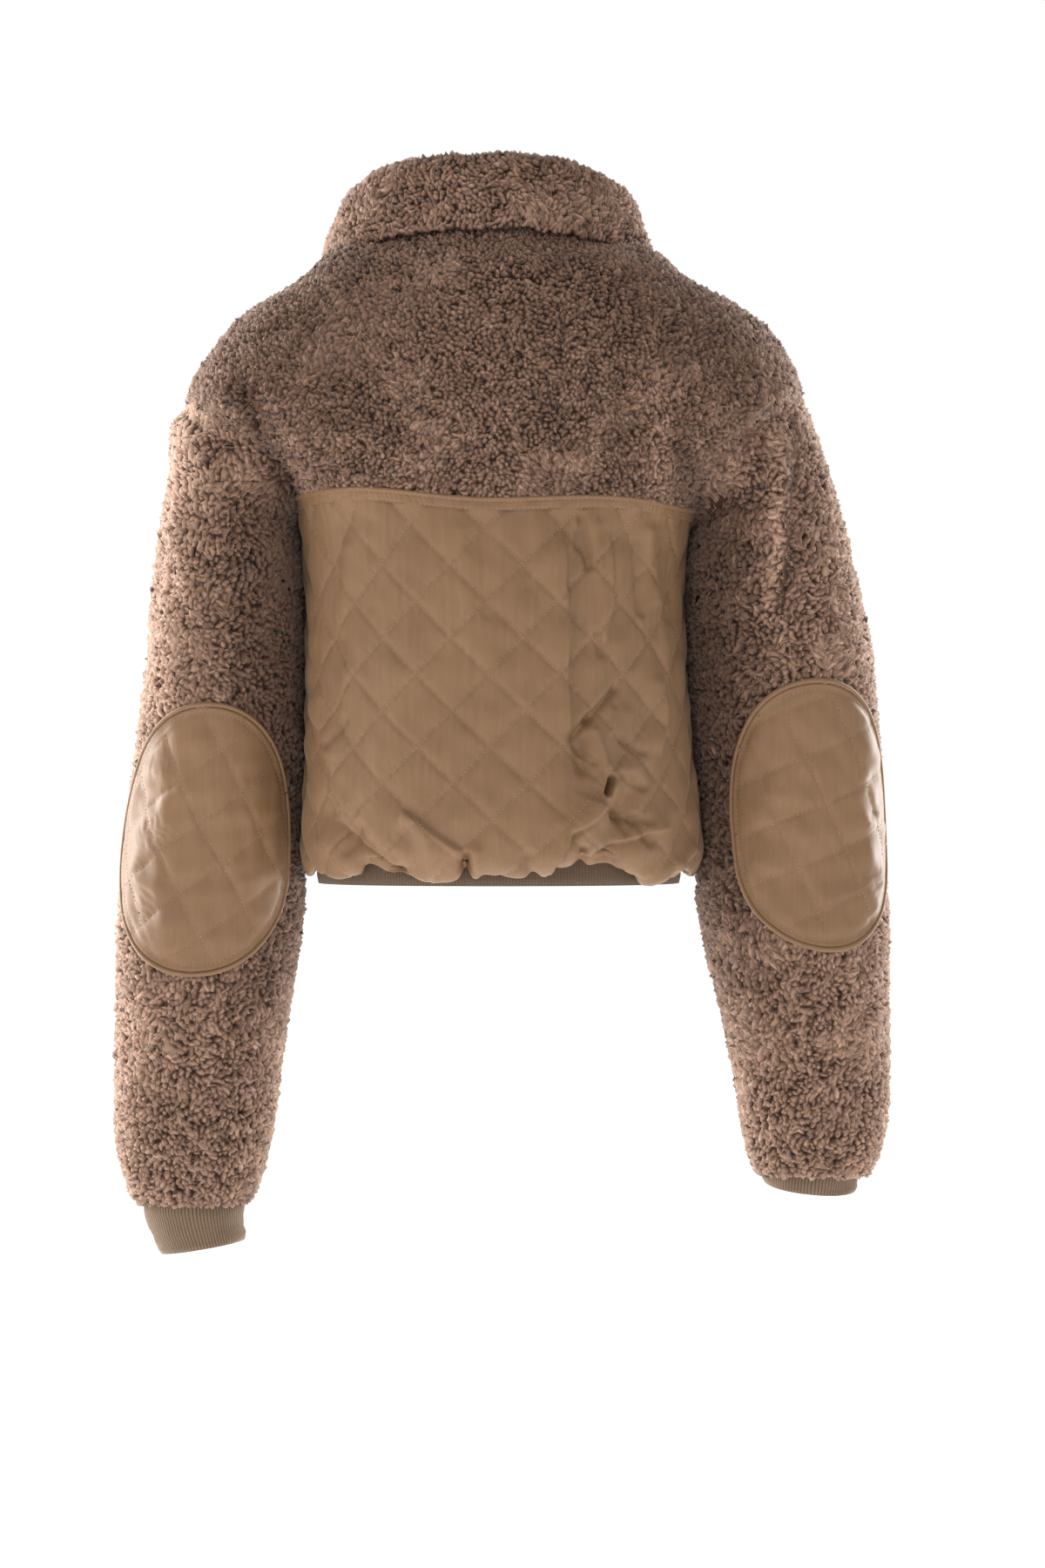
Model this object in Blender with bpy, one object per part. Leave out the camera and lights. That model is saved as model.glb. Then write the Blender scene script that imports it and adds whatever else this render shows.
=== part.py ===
"""A cropped bomber jacket in curly pile fleece, hollow, in the shape it has when it is worn.

Metres, +Z up. The front faces -Y and the wearer's left arm is on +X. The origin is the middle of
the neck, at the height of the shoulder points beside the collar.

The body is one smooth surface: BODY lists its level sections from the hem to the neck, and a
fractional row number and an angle give a point on it. The angle is 0 at the wearer's left side,
a quarter turn at the middle of the back and three quarters at the middle of the front. Each cut
piece covers its own stretch of rows and angles, is WALL thick and ends half a SEAM short of its
neighbour. A sleeve is a tube of rings whose first ring is the armhole on the body.
"""
import math
from collections import namedtuple

import bmesh
import bpy
import numpy as np

for old in list(bpy.data.objects):
    bpy.data.objects.remove(old, do_unlink=True)

# Driving sizes
WALL = 0.0022            # fleece and quilted cloth
RIB_WALL = 0.0018        # rib knit
TAPE_WALL = 0.0009       # zip tape
SEAM = 0.0003            # gap between two pieces that are sewn together
ARM_DEPTH = 0.084        # half the front-to-back depth of the armhole
BAND_HEIGHT = 0.044      # rib hem band
CUFF_HEIGHT = 0.053      # rib cuff
ZIP_HALF_GAP = 0.006     # from the middle of the zip to the front edges
TAPE_WIDTH = 0.013       # each zip tape
YOKE_BAND_HEIGHT = 0.010
YOKE_BAND_WALL = 0.0012
PATCH_WALL = 0.0014
PIPING_RADIUS = 0.0014
SLIDER_HEIGHT = -0.076   # where the closed zip's slider stands
PIN_RADIUS = 0.0006      # the slider's pin, on which the pull swings
PIN_Y = -0.0048          # the pin's place in front of the slider's back face
PIN_Z = 0.0028           # and above its middle
PULL_LENGTH = 0.026
PULL_EYE_HALF_WIDTH = 0.0016
PULL_RUNNING = 0.00009   # radial clearance of the pull's eye on the pin
SLIDER_WALL = 0.0025
SLIDER_LIFT = 0.0005     # from the tapes to the slider's back face
PATCH_CLEAR = 0.0012     # how far the facets of a patch stay off the sleeve's own facets

BACK = math.pi / 2
FRONT = -math.pi / 2

# Level sections of the body, from the edge that is turned in under the hem up to the neck.
# z is the height at the sides, rise and drop what the back lies above it and the front below it,
# width, back and front the reach from the middle, square is 2 for an ellipse, and shift moves the
# section sideways.
Section = namedtuple("Section", "z rise drop width back front square shift")
BODY = [
    Section(-0.404, 0.000, 0.000, 0.1290, 0.1180, 0.1160, 2.4, -0.003),   # turned-in edge
    Section(-0.430, 0.000, 0.000, 0.1300, 0.1195, 0.1175, 2.4, -0.003),
    Section(-0.442, 0.000, 0.000, 0.1350, 0.1270, 0.1230, 2.4, -0.004),   # lowest line
    Section(-0.432, 0.000, 0.000, 0.1410, 0.1370, 0.1310, 2.4, -0.005),
    Section(-0.402, 0.000, 0.000, 0.1410, 0.1420, 0.1340, 2.4, -0.005),
    Section(-0.355, 0.000, 0.000, 0.1370, 0.1410, 0.1340, 2.4, -0.003),
    Section(-0.290, 0.000, 0.000, 0.1345, 0.1390, 0.1340, 2.4, -0.001),
    Section(-0.235, 0.000, 0.000, 0.1340, 0.1370, 0.1340, 2.4, 0.000),
    Section(-0.202, 0.000, 0.000, 0.1375, 0.1355, 0.1340, 2.5, 0.000),
    Section(-0.180, 0.000, 0.002, 0.1450, 0.1345, 0.1330, 2.6, 0.000),   # yoke seam and armpit
    Section(-0.159, 0.000, 0.005, 0.1650, 0.1330, 0.1310, 2.8, 0.000),
    Section(-0.133, 0.000, 0.010, 0.1980, 0.1300, 0.1280, 3.0, 0.000),
    Section(-0.106, 0.001, 0.014, 0.2150, 0.1260, 0.1240, 2.7, 0.000),   # top of the armhole
    Section(-0.072, 0.002, 0.032, 0.1985, 0.1190, 0.1170, 2.4, -0.003),
    Section(-0.052, 0.007, 0.042, 0.1770, 0.1110, 0.1100, 2.2, -0.002),
    Section(-0.036, 0.015, 0.045, 0.1450, 0.0990, 0.1020, 2.1, 0.000),
    Section(-0.020, 0.021, 0.049, 0.1080, 0.0840, 0.0940, 2.0, 0.002),
    Section(-0.006, 0.025, 0.053, 0.0820, 0.0680, 0.0880, 2.0, 0.004),    # neck seam
]
ROW_EDGE = 0
ROW_LOW = 2
ROW_YOKE = 9
ROW_ARM_TOP = 12
ROW_NECK = 17

# The yoke seam's height along the back: how far it lies above or below its section.
Sway = namedtuple("Sway", "x half_width lift")
YOKE_SWAY = [
    Sway(0.100, 0.050, 0.006),
    Sway(0.000, 0.050, -0.003),
    Sway(-0.140, 0.035, -0.006),
]
SWAY_HEIGHT = 0.040      # how far above and below the seam the sway fades out

# Gathers of the blouse over the rib band: where the lowest line is pulled up, by angle in degrees.
Gather = namedtuple("Gather", "angle half_width lift")
GATHERS = [
    Gather(18, 7, 0.006), Gather(52, 6, 0.009), Gather(83, 5, 0.003), Gather(112, 14, 0.010),
    Gather(160, 8, 0.007), Gather(200, 8, 0.006), Gather(226, 7, 0.009), Gather(250, 5, 0.005),
    Gather(291, 5, 0.006), Gather(315, 8, 0.009), Gather(342, 6, 0.005),
]

# Soft folds. u runs across (x on the body; on a sleeve the turn in degrees from its outer line
# over the back) and z up, from one end to the other. A positive height is a ridge.
Fold = namedtuple("Fold", "u0 z0 u1 z1 half_width height")
BACK_FOLDS = [
    Fold(0.112, -0.398, 0.070, -0.436, 0.0090, -0.0060),
    Fold(0.118, -0.420, 0.092, -0.436, 0.0080, 0.0030),
    Fold(0.040, -0.415, 0.030, -0.440, 0.0100, 0.0030),
    Fold(-0.084, -0.372, -0.046, -0.424, 0.0095, 0.0060),
    Fold(-0.092, -0.385, -0.078, -0.430, 0.0080, -0.0070),
    Fold(-0.086, -0.366, -0.100, -0.330, 0.0110, -0.0030),
    Fold(-0.118, -0.400, -0.112, -0.440, 0.0100, 0.0035),
    Fold(-0.052, -0.200, -0.058, -0.352, 0.0110, -0.0022),
    Fold(-0.096, -0.205, -0.090, -0.340, 0.0100, -0.0026),
    Fold(0.104, -0.200, 0.110, -0.330, 0.0120, -0.0020),
    Fold(0.062, -0.300, 0.088, -0.392, 0.0130, 0.0022),
    Fold(0.150, -0.128, 0.136, -0.172, 0.0140, -0.0040),
    Fold(-0.146, -0.128, -0.134, -0.172, 0.0140, -0.0040),
    Fold(0.000, -0.060, 0.004, -0.150, 0.0260, -0.0020),
]
FRONT_FOLDS = [
    Fold(0.104, -0.385, 0.070, -0.434, 0.0090, -0.0055),
    Fold(-0.092, -0.376, -0.062, -0.432, 0.0095, -0.0060),
    Fold(0.040, -0.400, 0.034, -0.438, 0.0090, 0.0035),
    Fold(-0.034, -0.404, -0.040, -0.438, 0.0090, 0.0035),
    Fold(0.086, -0.205, 0.080, -0.330, 0.0110, -0.0022),
    Fold(-0.070, -0.215, -0.076, -0.345, 0.0120, -0.0024),
    Fold(0.146, -0.130, 0.132, -0.172, 0.0140, -0.0040),
    Fold(-0.144, -0.130, -0.134, -0.172, 0.0140, -0.0040),
]
LEFT_FOLDS = [
    Fold(40, -0.150, 58, -0.205, 0.0110, 0.0035),
    Fold(105, -0.190, 70, -0.262, 0.0120, -0.0035),
    Fold(30, -0.235, 10, -0.300, 0.0120, -0.0030),
    Fold(168, -0.330, 120, -0.318, 0.0100, -0.0030),
    Fold(200, -0.365, 250, -0.395, 0.0110, -0.0055),
    Fold(190, -0.430, 262, -0.440, 0.0110, -0.0050),
    Fold(150, -0.505, 110, -0.530, 0.0120, -0.0030),
    Fold(20, -0.535, 60, -0.560, 0.0130, -0.0030),
    Fold(300, -0.235, 330, -0.300, 0.0120, -0.0035),
    Fold(320, -0.560, 285, -0.600, 0.0120, -0.0035),
    Fold(75, -0.605, 84, -0.660, 0.0090, -0.0040),
    Fold(125, -0.600, 118, -0.658, 0.0090, -0.0035),
]
RIGHT_FOLDS = [
    Fold(36, -0.145, 52, -0.215, 0.0110, 0.0040),
    Fold(100, -0.200, 128, -0.285, 0.0120, 0.0035),
    Fold(70, -0.205, 88, -0.280, 0.0110, -0.0035),
    Fold(22, -0.260, 12, -0.320, 0.0120, -0.0030),
    Fold(205, -0.350, 256, -0.380, 0.0110, -0.0055),
    Fold(188, -0.412, 255, -0.430, 0.0110, -0.0050),
    Fold(160, -0.490, 120, -0.512, 0.0120, -0.0035),
    Fold(25, -0.520, 62, -0.548, 0.0130, -0.0030),
    Fold(305, -0.240, 335, -0.310, 0.0120, -0.0035),
    Fold(318, -0.545, 290, -0.590, 0.0120, -0.0035),
    Fold(98, -0.585, 90, -0.640, 0.0090, -0.0040),
    Fold(50, -0.590, 56, -0.640, 0.0090, -0.0035),
]

# Rings of a sleeve, below the armhole. z is the height of the ring's middle and tilt what its
# outer side lies above its inner side; outer and inner are distances from the jacket's middle.
Ring = namedtuple("Ring", "z tilt outer inner middle depth square")
LEFT_RINGS = [
    Ring(-0.167, 0.060, 0.2230, 0.1515, 0.000, 0.0820, 2.0),
    Ring(-0.192, 0.034, 0.2305, 0.1510, 0.000, 0.0780, 2.0),
    Ring(-0.224, 0.012, 0.2380, 0.1490, 0.000, 0.0735, 2.0),
    Ring(-0.285, 0.000, 0.2450, 0.1450, 0.000, 0.0690, 2.1),
    Ring(-0.347, 0.000, 0.2510, 0.1435, 0.000, 0.0670, 2.1),
    Ring(-0.415, 0.000, 0.2610, 0.1440, -0.003, 0.0660, 2.1),
    Ring(-0.467, 0.000, 0.2655, 0.1440, -0.005, 0.0650, 2.1),
    Ring(-0.533, 0.000, 0.2675, 0.1505, -0.008, 0.0630, 2.1),
    Ring(-0.595, 0.000, 0.2685, 0.1565, -0.010, 0.0590, 2.1),
    Ring(-0.634, 0.003, 0.2680, 0.1625, -0.011, 0.0550, 2.1),
    Ring(-0.661, 0.002, 0.2620, 0.1700, -0.012, 0.0450, 2.1),
    Ring(-0.675, 0.000, 0.2540, 0.1760, -0.012, 0.0345, 2.1),
    Ring(-0.670, 0.000, 0.2495, 0.1785, -0.012, 0.0290, 2.1),
    Ring(-0.655, 0.000, 0.2488, 0.1792, -0.012, 0.0283, 2.1),
]
RIGHT_RINGS = [
    Ring(-0.167, 0.060, 0.2280, 0.1515, 0.000, 0.0820, 2.0),
    Ring(-0.192, 0.034, 0.2400, 0.1500, 0.000, 0.0780, 2.0),
    Ring(-0.224, 0.012, 0.2510, 0.1480, 0.000, 0.0735, 2.0),
    Ring(-0.285, 0.000, 0.2660, 0.1455, 0.000, 0.0690, 2.1),
    Ring(-0.347, 0.000, 0.2710, 0.1490, 0.000, 0.0670, 2.1),
    Ring(-0.415, 0.000, 0.2745, 0.1530, -0.003, 0.0660, 2.1),
    Ring(-0.467, 0.000, 0.2780, 0.1510, -0.005, 0.0650, 2.1),
    Ring(-0.533, 0.000, 0.2785, 0.1635, -0.008, 0.0630, 2.1),
    Ring(-0.588, 0.000, 0.2790, 0.1735, -0.010, 0.0580, 2.1),
    Ring(-0.618, 0.002, 0.2780, 0.1780, -0.011, 0.0540, 2.1),
    Ring(-0.642, 0.002, 0.2725, 0.1835, -0.012, 0.0450, 2.1),
    Ring(-0.655, 0.000, 0.2660, 0.1885, -0.012, 0.0345, 2.1),
    Ring(-0.645, 0.000, 0.2620, 0.1910, -0.012, 0.0290, 2.1),
    Ring(-0.617, 0.000, 0.2612, 0.1918, -0.012, 0.0283, 2.1),
]

# A cuff's change from its top ring to its open end: down, inward at the outer and inner side.
Cuff = namedtuple("Cuff", "down tilt outer_in inner_in back_down")
LEFT_CUFF = [
    Cuff(0.000, 0.000, 0.000, 0.000, 0.000),
    Cuff(0.027, -0.002, -0.001, 0.001, 0.000),
    Cuff(CUFF_HEIGHT, -0.010, 0.010, -0.001, 0.000),
]
RIGHT_CUFF = [
    Cuff(0.000, 0.000, 0.000, 0.000, 0.000),
    Cuff(0.027, 0.000, 0.000, 0.001, 0.001),
    Cuff(CUFF_HEIGHT - 0.006, -0.006, 0.003, 0.000, 0.005),
]

# Elbow patches: the turn of the middle in degrees, its height, and half its width and height.
Patch = namedtuple("Patch", "turn z half_width half_height")
LEFT_PATCH = Patch(87, -0.417, 0.0770, 0.0920)
RIGHT_PATCH = Patch(74, -0.400, 0.0680, 0.0920)
SLEEVE_RADIUS = 0.064    # mean radius, which turns degrees into distance round a sleeve

# The collar from the neck seam up the stand, over the fold and down the fall. Each station gives
# how far out of the neck seam and above it the visible face lies, at the back, sides and front.
Station = namedtuple("Station", "back_out back_up side_out side_up front_out front_up half_opening")
COLLAR = [
    Station(-0.0022, 0.0005, -0.0022, 0.0005, -0.0022, 0.0005, 0.006),
    Station(-0.0030, 0.0120, -0.0010, 0.0120, -0.0010, 0.0110, 0.007),
    Station(-0.0020, 0.0240, 0.0020, 0.0250, 0.0010, 0.0220, 0.008),
    Station(0.0010, 0.0335, 0.0066, 0.0320, 0.0045, 0.0310, 0.010),
    Station(0.0075, 0.0390, 0.0145, 0.0365, 0.0110, 0.0350, 0.012),
    Station(0.0145, 0.0345, 0.0230, 0.0310, 0.0180, 0.0300, 0.016),
    Station(0.0195, 0.0185, 0.0290, 0.0160, 0.0215, 0.0140, 0.022),
    Station(0.0235, 0.0030, 0.0335, 0.0010, 0.0245, -0.0040, 0.029),
    Station(0.0250, -0.0080, 0.0362, -0.0120, 0.0260, -0.0190, 0.035),
]

# How finely the pieces are faceted
BACK_COLUMNS = 25
FRONT_COLUMNS = 9
COLLAR_COLUMNS = 30
ARMHOLE_STEPS = 10       # from the top of an armhole down to the armpit
SLEEVE_COLUMNS = 2 * ARMHOLE_STEPS
SLEEVE_PLACES = [0, 0.5, 1.2, 2.2, 3.3, 4.5, 5.7, 7, 8.2, 9.4, 10.4, 11.2, 12, 12.8, 14]
PATCH_COLUMNS = 24


def material(name, colour, roughness, metallic=0.0):
    made = bpy.data.materials.new(name)
    made.use_nodes = True
    shader = made.node_tree.nodes["Principled BSDF"]
    shader.inputs["Base Color"].default_value = (*colour, 1.0)
    shader.inputs["Roughness"].default_value = roughness
    shader.inputs["Metallic"].default_value = metallic
    return made


FLEECE = material("pile_fleece", (0.190, 0.112, 0.080), 0.95)
QUILT = material("quilted_satin", (0.277, 0.163, 0.087), 0.45)
RIB = material("rib_knit", (0.200, 0.132, 0.086), 0.85)
TAPE = material("zip_tape", (0.150, 0.095, 0.065), 0.80)
METAL = material("zip_metal", (0.420, 0.330, 0.200), 0.30, 1.0)


# ---------------------------------------------------------------- numbers on smooth curves

def ease(values, where):
    """Read a table's column at fractional row numbers, on a smooth curve through its rows."""
    values = np.asarray(values, dtype=float)
    where = np.asarray(where, dtype=float)
    low = np.clip(np.floor(where).astype(int), 0, len(values) - 2)
    before = values[np.maximum(low - 1, 0)]
    after = values[np.minimum(low + 2, len(values) - 1)]
    return hermite(before, values[low], values[low + 1], after, where - low)


def hermite(before, start, end, after, part):
    leaving = (end - before) / 2
    arriving = (after - start) / 2
    square = part * part
    cube = square * part
    return (
        (2 * cube - 3 * square + 1) * start
        + (cube - 2 * square + part) * leaving
        + (3 * square - 2 * cube) * end
        + (cube - square) * arriving
    )


def unit(vectors):
    return vectors / np.linalg.norm(vectors, axis=-1, keepdims=True)


def signed_power(values, power):
    return np.sign(values) * np.abs(values) ** power


def folds_at(u, z, table):
    """Height of a table's soft folds at places u, z, both in metres."""
    height = np.zeros(np.broadcast(u, z).shape)
    for fold in table:
        across = fold.u1 - fold.u0
        up = fold.z1 - fold.z0
        along = ((u - fold.u0) * across + (z - fold.z0) * up) / (across ** 2 + up ** 2)
        along = np.clip(along, 0, 1)
        away = np.hypot(u - fold.u0 - along * across, z - fold.z0 - along * up)
        height = height + fold.height * np.exp(-((away / fold.half_width) ** 2))
    return height


# ---------------------------------------------------------------- the body's surface

def body_point(row, angle):
    """The body's outer surface, without its folds, at row numbers and angles."""
    row, angle = np.broadcast_arrays(np.asarray(row, float), np.asarray(angle, float))
    z, rise, drop, width, back, front, square, shift = (ease(column, row) for column in zip(*BODY))
    across = signed_power(np.cos(angle), 2 / square)
    deep = signed_power(np.sin(angle), 2 / square)
    x = shift + width * across
    y = np.where(deep >= 0, back, front) * deep
    z = z + (rise + drop) / 2 * deep + (rise - drop) / 2 * deep ** 2
    z = z + yoke_sway(x, z) * np.clip(deep + 0.5, 0, 1)
    z = z + gather_lift(row, angle)
    return np.stack([x, y, z], axis=-1)


def yoke_sway(x, z):
    lift = sum(sway.lift * np.exp(-(((x - sway.x) / sway.half_width) ** 2)) for sway in YOKE_SWAY)
    return lift * np.exp(-(((z - BODY[ROW_YOKE].z) / SWAY_HEIGHT) ** 2))


def gather_lift(row, angle):
    """How far the gathers pull up the turned hem, most at its lowest line."""
    degrees = np.degrees(angle) % 360
    lift = np.zeros(row.shape)
    for gather in GATHERS:
        away = (degrees - gather.angle + 180) % 360 - 180
        lift = lift + gather.lift * np.exp(-((away / gather.half_width) ** 2))
    return lift * np.clip(row, 0, 1) * np.clip(3.6 - row, 0, 1)


def body_normal(row, angle, step=0.01):
    along = body_point(row + step, angle) - body_point(row - step, angle)
    around = body_point(row, angle + step) - body_point(row, angle - step)
    return unit(np.cross(around, along))


def body_folds(points, row):
    """Height of the folds at points of the body, none at the turned edge, seams and neck."""
    height = np.where(
        points[..., 1] >= 0,
        folds_at(points[..., 0], points[..., 2], BACK_FOLDS),
        folds_at(points[..., 0], points[..., 2], FRONT_FOLDS),
    )
    sideways = np.clip(np.abs(points[..., 1]) / 0.030, 0, 1)
    return height * sideways * np.clip((row - ROW_LOW + 0.6) / 0.6, 0, 1)


def row_step(row, distance):
    """Row number that lies the given distance up the surface from a row."""
    reach = body_point(row + 0.01, BACK) - body_point(row - 0.01, BACK)
    return row + distance * 0.02 / np.linalg.norm(reach)


def angle_at_side(row, y):
    """Angle from the left side at which a section reaches the depth y."""
    depth = np.where(y >= 0, ease([s.back for s in BODY], row), ease([s.front for s in BODY], row))
    square = ease([s.square for s in BODY], row)
    return np.sign(y) * np.arcsin(np.clip(np.abs(y) / depth, 0, 1) ** (square / 2))


def angle_at_front(row, x):
    """Angle at which a section passes the distance x from the middle of the front, +X side."""
    width = ease([s.width for s in BODY], row)
    square = ease([s.square for s in BODY], row)
    return FRONT + np.arcsin((x / width) ** (square / 2))


# ---------------------------------------------------------------- the armhole

def armhole_turn(row):
    """Turn round the armhole, 0 at its top and half a turn at the armpit, of a body row."""
    part = np.clip((ROW_ARM_TOP - row) / (ROW_ARM_TOP - ROW_YOKE), 0, 1)
    return np.arccos(1 - 2 * part)


def armhole_point(side, turn):
    """The armhole of the left (side 1) or right (side -1) sleeve, on the body's surface."""
    row = ROW_ARM_TOP - (ROW_ARM_TOP - ROW_YOKE) * (1 - np.cos(turn)) / 2
    angle = angle_at_side(row, ARM_DEPTH * np.sin(turn))
    return body_point(row, angle if side > 0 else math.pi - angle)


def armhole_inward(side, turn):
    """The way from the outer to the inner face on both sides of the armhole's seam."""
    x = -0.75 * np.maximum(np.cos(turn), 0)
    return unit(np.stack([side * x, -np.sin(turn), -0.6 * np.cos(turn)], axis=-1))


# ---------------------------------------------------------------- a sleeve's surface

def sleeve_point(side, rings, place, turn):
    """A sleeve's surface. Place 0 is the armhole, and place n the nth ring below it."""
    place, turn = np.broadcast_arrays(np.asarray(place, float), np.asarray(turn, float))
    controls = [armhole_point(side, turn)]
    for ring in rings:
        across = signed_power(np.cos(turn), 2 / ring.square)
        deep = signed_power(np.sin(turn), 2 / ring.square)
        x = (ring.outer + ring.inner) / 2 + (ring.outer - ring.inner) / 2 * across
        z = ring.z + ring.tilt / 2 * across
        controls.append(np.stack([side * x, ring.middle + ring.depth * deep, z], axis=-1))
    controls = np.array(controls)
    low = np.clip(np.floor(place).astype(int), 0, len(controls) - 2)

    def control(index):
        chosen = np.clip(index, 0, len(controls) - 1)[None, ..., None]
        return np.take_along_axis(controls, chosen, axis=0)[0]

    part = (place - low)[..., None]
    return hermite(control(low - 1), control(low), control(low + 1), control(low + 2), part)


def sleeve_normal(side, rings, place, turn, step=0.01):
    below = sleeve_point(side, rings, place + step, turn)
    above = sleeve_point(side, rings, place - step, turn)
    after = sleeve_point(side, rings, place, turn + step)
    before = sleeve_point(side, rings, place, turn - step)
    return side * unit(np.cross(below - above, after - before))


def sleeve_folds(table, points, place, turn):
    degrees = np.degrees(turn) % 360
    scale = math.radians(1) * SLEEVE_RADIUS
    scaled = [fold._replace(u0=fold.u0 * scale, u1=fold.u1 * scale) for fold in table]
    height = folds_at(degrees * scale, points[..., 2], scaled)
    return height * np.clip(place - 0.3, 0, 1) * np.clip(11.5 - place, 0, 1)


# ---------------------------------------------------------------- solids

def make(name, vertices, faces, cloth, smooth=True):
    mesh = bpy.data.meshes.new(name)
    mesh.from_pydata([tuple(map(float, v)) for v in vertices], [], faces)
    shape = bmesh.new()
    shape.from_mesh(mesh)
    bmesh.ops.recalc_face_normals(shape, faces=shape.faces)
    shape.to_mesh(mesh)
    shape.free()
    if smooth:
        mesh.shade_smooth()
        mesh.set_sharp_from_angle(angle=math.radians(50))
    mesh.materials.append(cloth)
    piece = bpy.data.objects.new(name, mesh)
    bpy.context.scene.collection.objects.link(piece)
    return piece


def wall(name, face, lining, cloth, tube=False):
    """A wall between two grids of points [row, column, xyz]; a tube closes round its columns."""
    rows, columns = face.shape[:2]
    vertices = np.concatenate([face.reshape(-1, 3), lining.reshape(-1, 3)])
    other = rows * columns
    last = columns if tube else columns - 1
    faces = []
    for r in range(rows - 1):
        for c in range(last):
            a, b = r * columns + c, r * columns + (c + 1) % columns
            faces.append((a, b, b + columns, a + columns))
            faces.append((other + a, other + a + columns, other + b + columns, other + b))
    for c in range(last):
        a, b = c, (c + 1) % columns
        top = (rows - 1) * columns
        faces.append((a, other + a, other + b, b))
        faces.append((top + a, top + b, other + top + b, other + top + a))
    if not tube:
        for r in range(rows - 1):
            a = r * columns
            faces.append((a, a + columns, other + a + columns, other + a))
            a += columns - 1
            faces.append((a, other + a, other + a + columns, a + columns))
    return make(name, vertices, faces, cloth)


def body_piece(name, rows, starts, ends, columns, cloth, edge_turns=None):
    """A cut piece of the body between a start and an end angle on each of its rows."""
    rows = np.asarray(rows, float)[:, None]
    share = np.linspace(0, 1, columns)[None, :]
    starts = np.asarray(starts, float)[:, None]
    ends = np.asarray(ends, float)[:, None]
    angles = starts + (ends - starts) * share
    base = body_point(rows, angles)
    normal = body_normal(rows, angles)
    face = base + normal * body_folds(base, rows)[..., None]
    lining = face - WALL * normal
    for column, side, turns, on_edge in edge_turns or []:
        face[on_edge, column] = base[on_edge, column]
        inward = armhole_inward(side, turns[on_edge])
        lining[on_edge, column] = base[on_edge, column] + WALL * inward
    return wall(name, face, lining, cloth)


def yoke_rows():
    """Rows of a yoke: from its seam up beside the armhole, then over the shoulder to the neck."""
    turns = np.linspace(math.pi, 0, ARMHOLE_STEPS + 1)
    beside = ROW_ARM_TOP - (ROW_ARM_TOP - ROW_YOKE) * (1 - np.cos(turns)) / 2
    above = np.linspace(ROW_ARM_TOP, ROW_NECK, 6)[1:]
    beside[0] = row_step(ROW_YOKE, SEAM / 2)
    return np.concatenate([beside, above])


def side_angles(rows, front=False):
    """Where a body piece's side edge lies: on the armhole, or half a seam from the side line."""
    depth = np.maximum(ARM_DEPTH * np.sin(armhole_turn(rows)), SEAM / 2)
    return angle_at_side(rows, -depth if front else depth)


def build_yokes():
    rows = yoke_rows()
    turns = armhole_turn(rows)
    on_edge = (rows < ROW_ARM_TOP + 0.01)
    side = side_angles(rows)
    edges = [(0, 1, turns, on_edge), (-1, -1, turns, on_edge)]
    body_piece("back_yoke", rows, side, math.pi - side, BACK_COLUMNS, FLEECE, edges)
    side = side_angles(rows, front=True)
    middle = angle_at_front(rows, ZIP_HALF_GAP)
    edges = [(-1, 1, -turns, on_edge)]
    body_piece("front_yoke_left", rows, middle, side, FRONT_COLUMNS, FLEECE, edges)
    edges = [(0, -1, -turns, on_edge)]
    across = -math.pi - side
    body_piece("front_yoke_right", rows, across, -math.pi - middle, FRONT_COLUMNS, FLEECE, edges)


def build_quilted_panels():
    rows = np.array([0, 0.9, 1.6, 2.1, 2.8, 3.5, 4.2, 5, 5.9, 6.8, 7.7, *yoke_band_rows()])
    side = angle_at_side(rows, np.full(rows.shape, SEAM / 2))
    body_piece("back_panel", rows, side, math.pi - side, BACK_COLUMNS, QUILT)
    side = angle_at_side(rows, np.full(rows.shape, -SEAM / 2))
    middle = angle_at_front(rows, ZIP_HALF_GAP)
    body_piece("front_panel_left", rows, middle, side, FRONT_COLUMNS, QUILT)
    across = -math.pi - side
    body_piece("front_panel_right", rows, across, -math.pi - middle, FRONT_COLUMNS, QUILT)


def yoke_band_rows():
    top = row_step(ROW_YOKE, -SEAM / 2)
    return [row_step(top, -YOKE_BAND_HEIGHT), top]


def build_yoke_band():
    """A topstitched band on the back panel, just under the yoke seam."""
    rows = np.array(yoke_band_rows())[:, None]
    side = angle_at_side(rows, np.full(rows.shape, SEAM / 2))
    angles = side + (math.pi - 2 * side) * np.linspace(0, 1, BACK_COLUMNS)[None, 1:-1]
    base = body_point(rows, angles)
    normal = body_normal(rows, angles)
    lining = base + normal * (body_folds(base, rows)[..., None] + SEAM)
    wall("yoke_band", lining + YOKE_BAND_WALL * normal, lining, QUILT)


def build_hem_band():
    """The rib band, which hangs from the turned-in edge and stops at the zip."""
    start = float(angle_at_front(np.array(0.0), ZIP_HALF_GAP))
    left = np.linspace(start, 0, FRONT_COLUMNS)
    back = np.linspace(0, math.pi, BACK_COLUMNS)
    angles = np.concatenate([left, back[1:-1], math.pi - left[::-1]])
    top = body_point(ROW_EDGE, angles)
    inward = body_normal(ROW_EDGE, angles)
    inward[:, 2] = 0
    inward = unit(inward)
    face = []
    for share in (0, 0.5, 1):
        row = top + inward * SEAM
        row[:, 2] -= BAND_HEIGHT * share
        face.append(row)
    face = np.array(face)
    wall("hem_band", face, face + RIB_WALL * inward, RIB)


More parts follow.
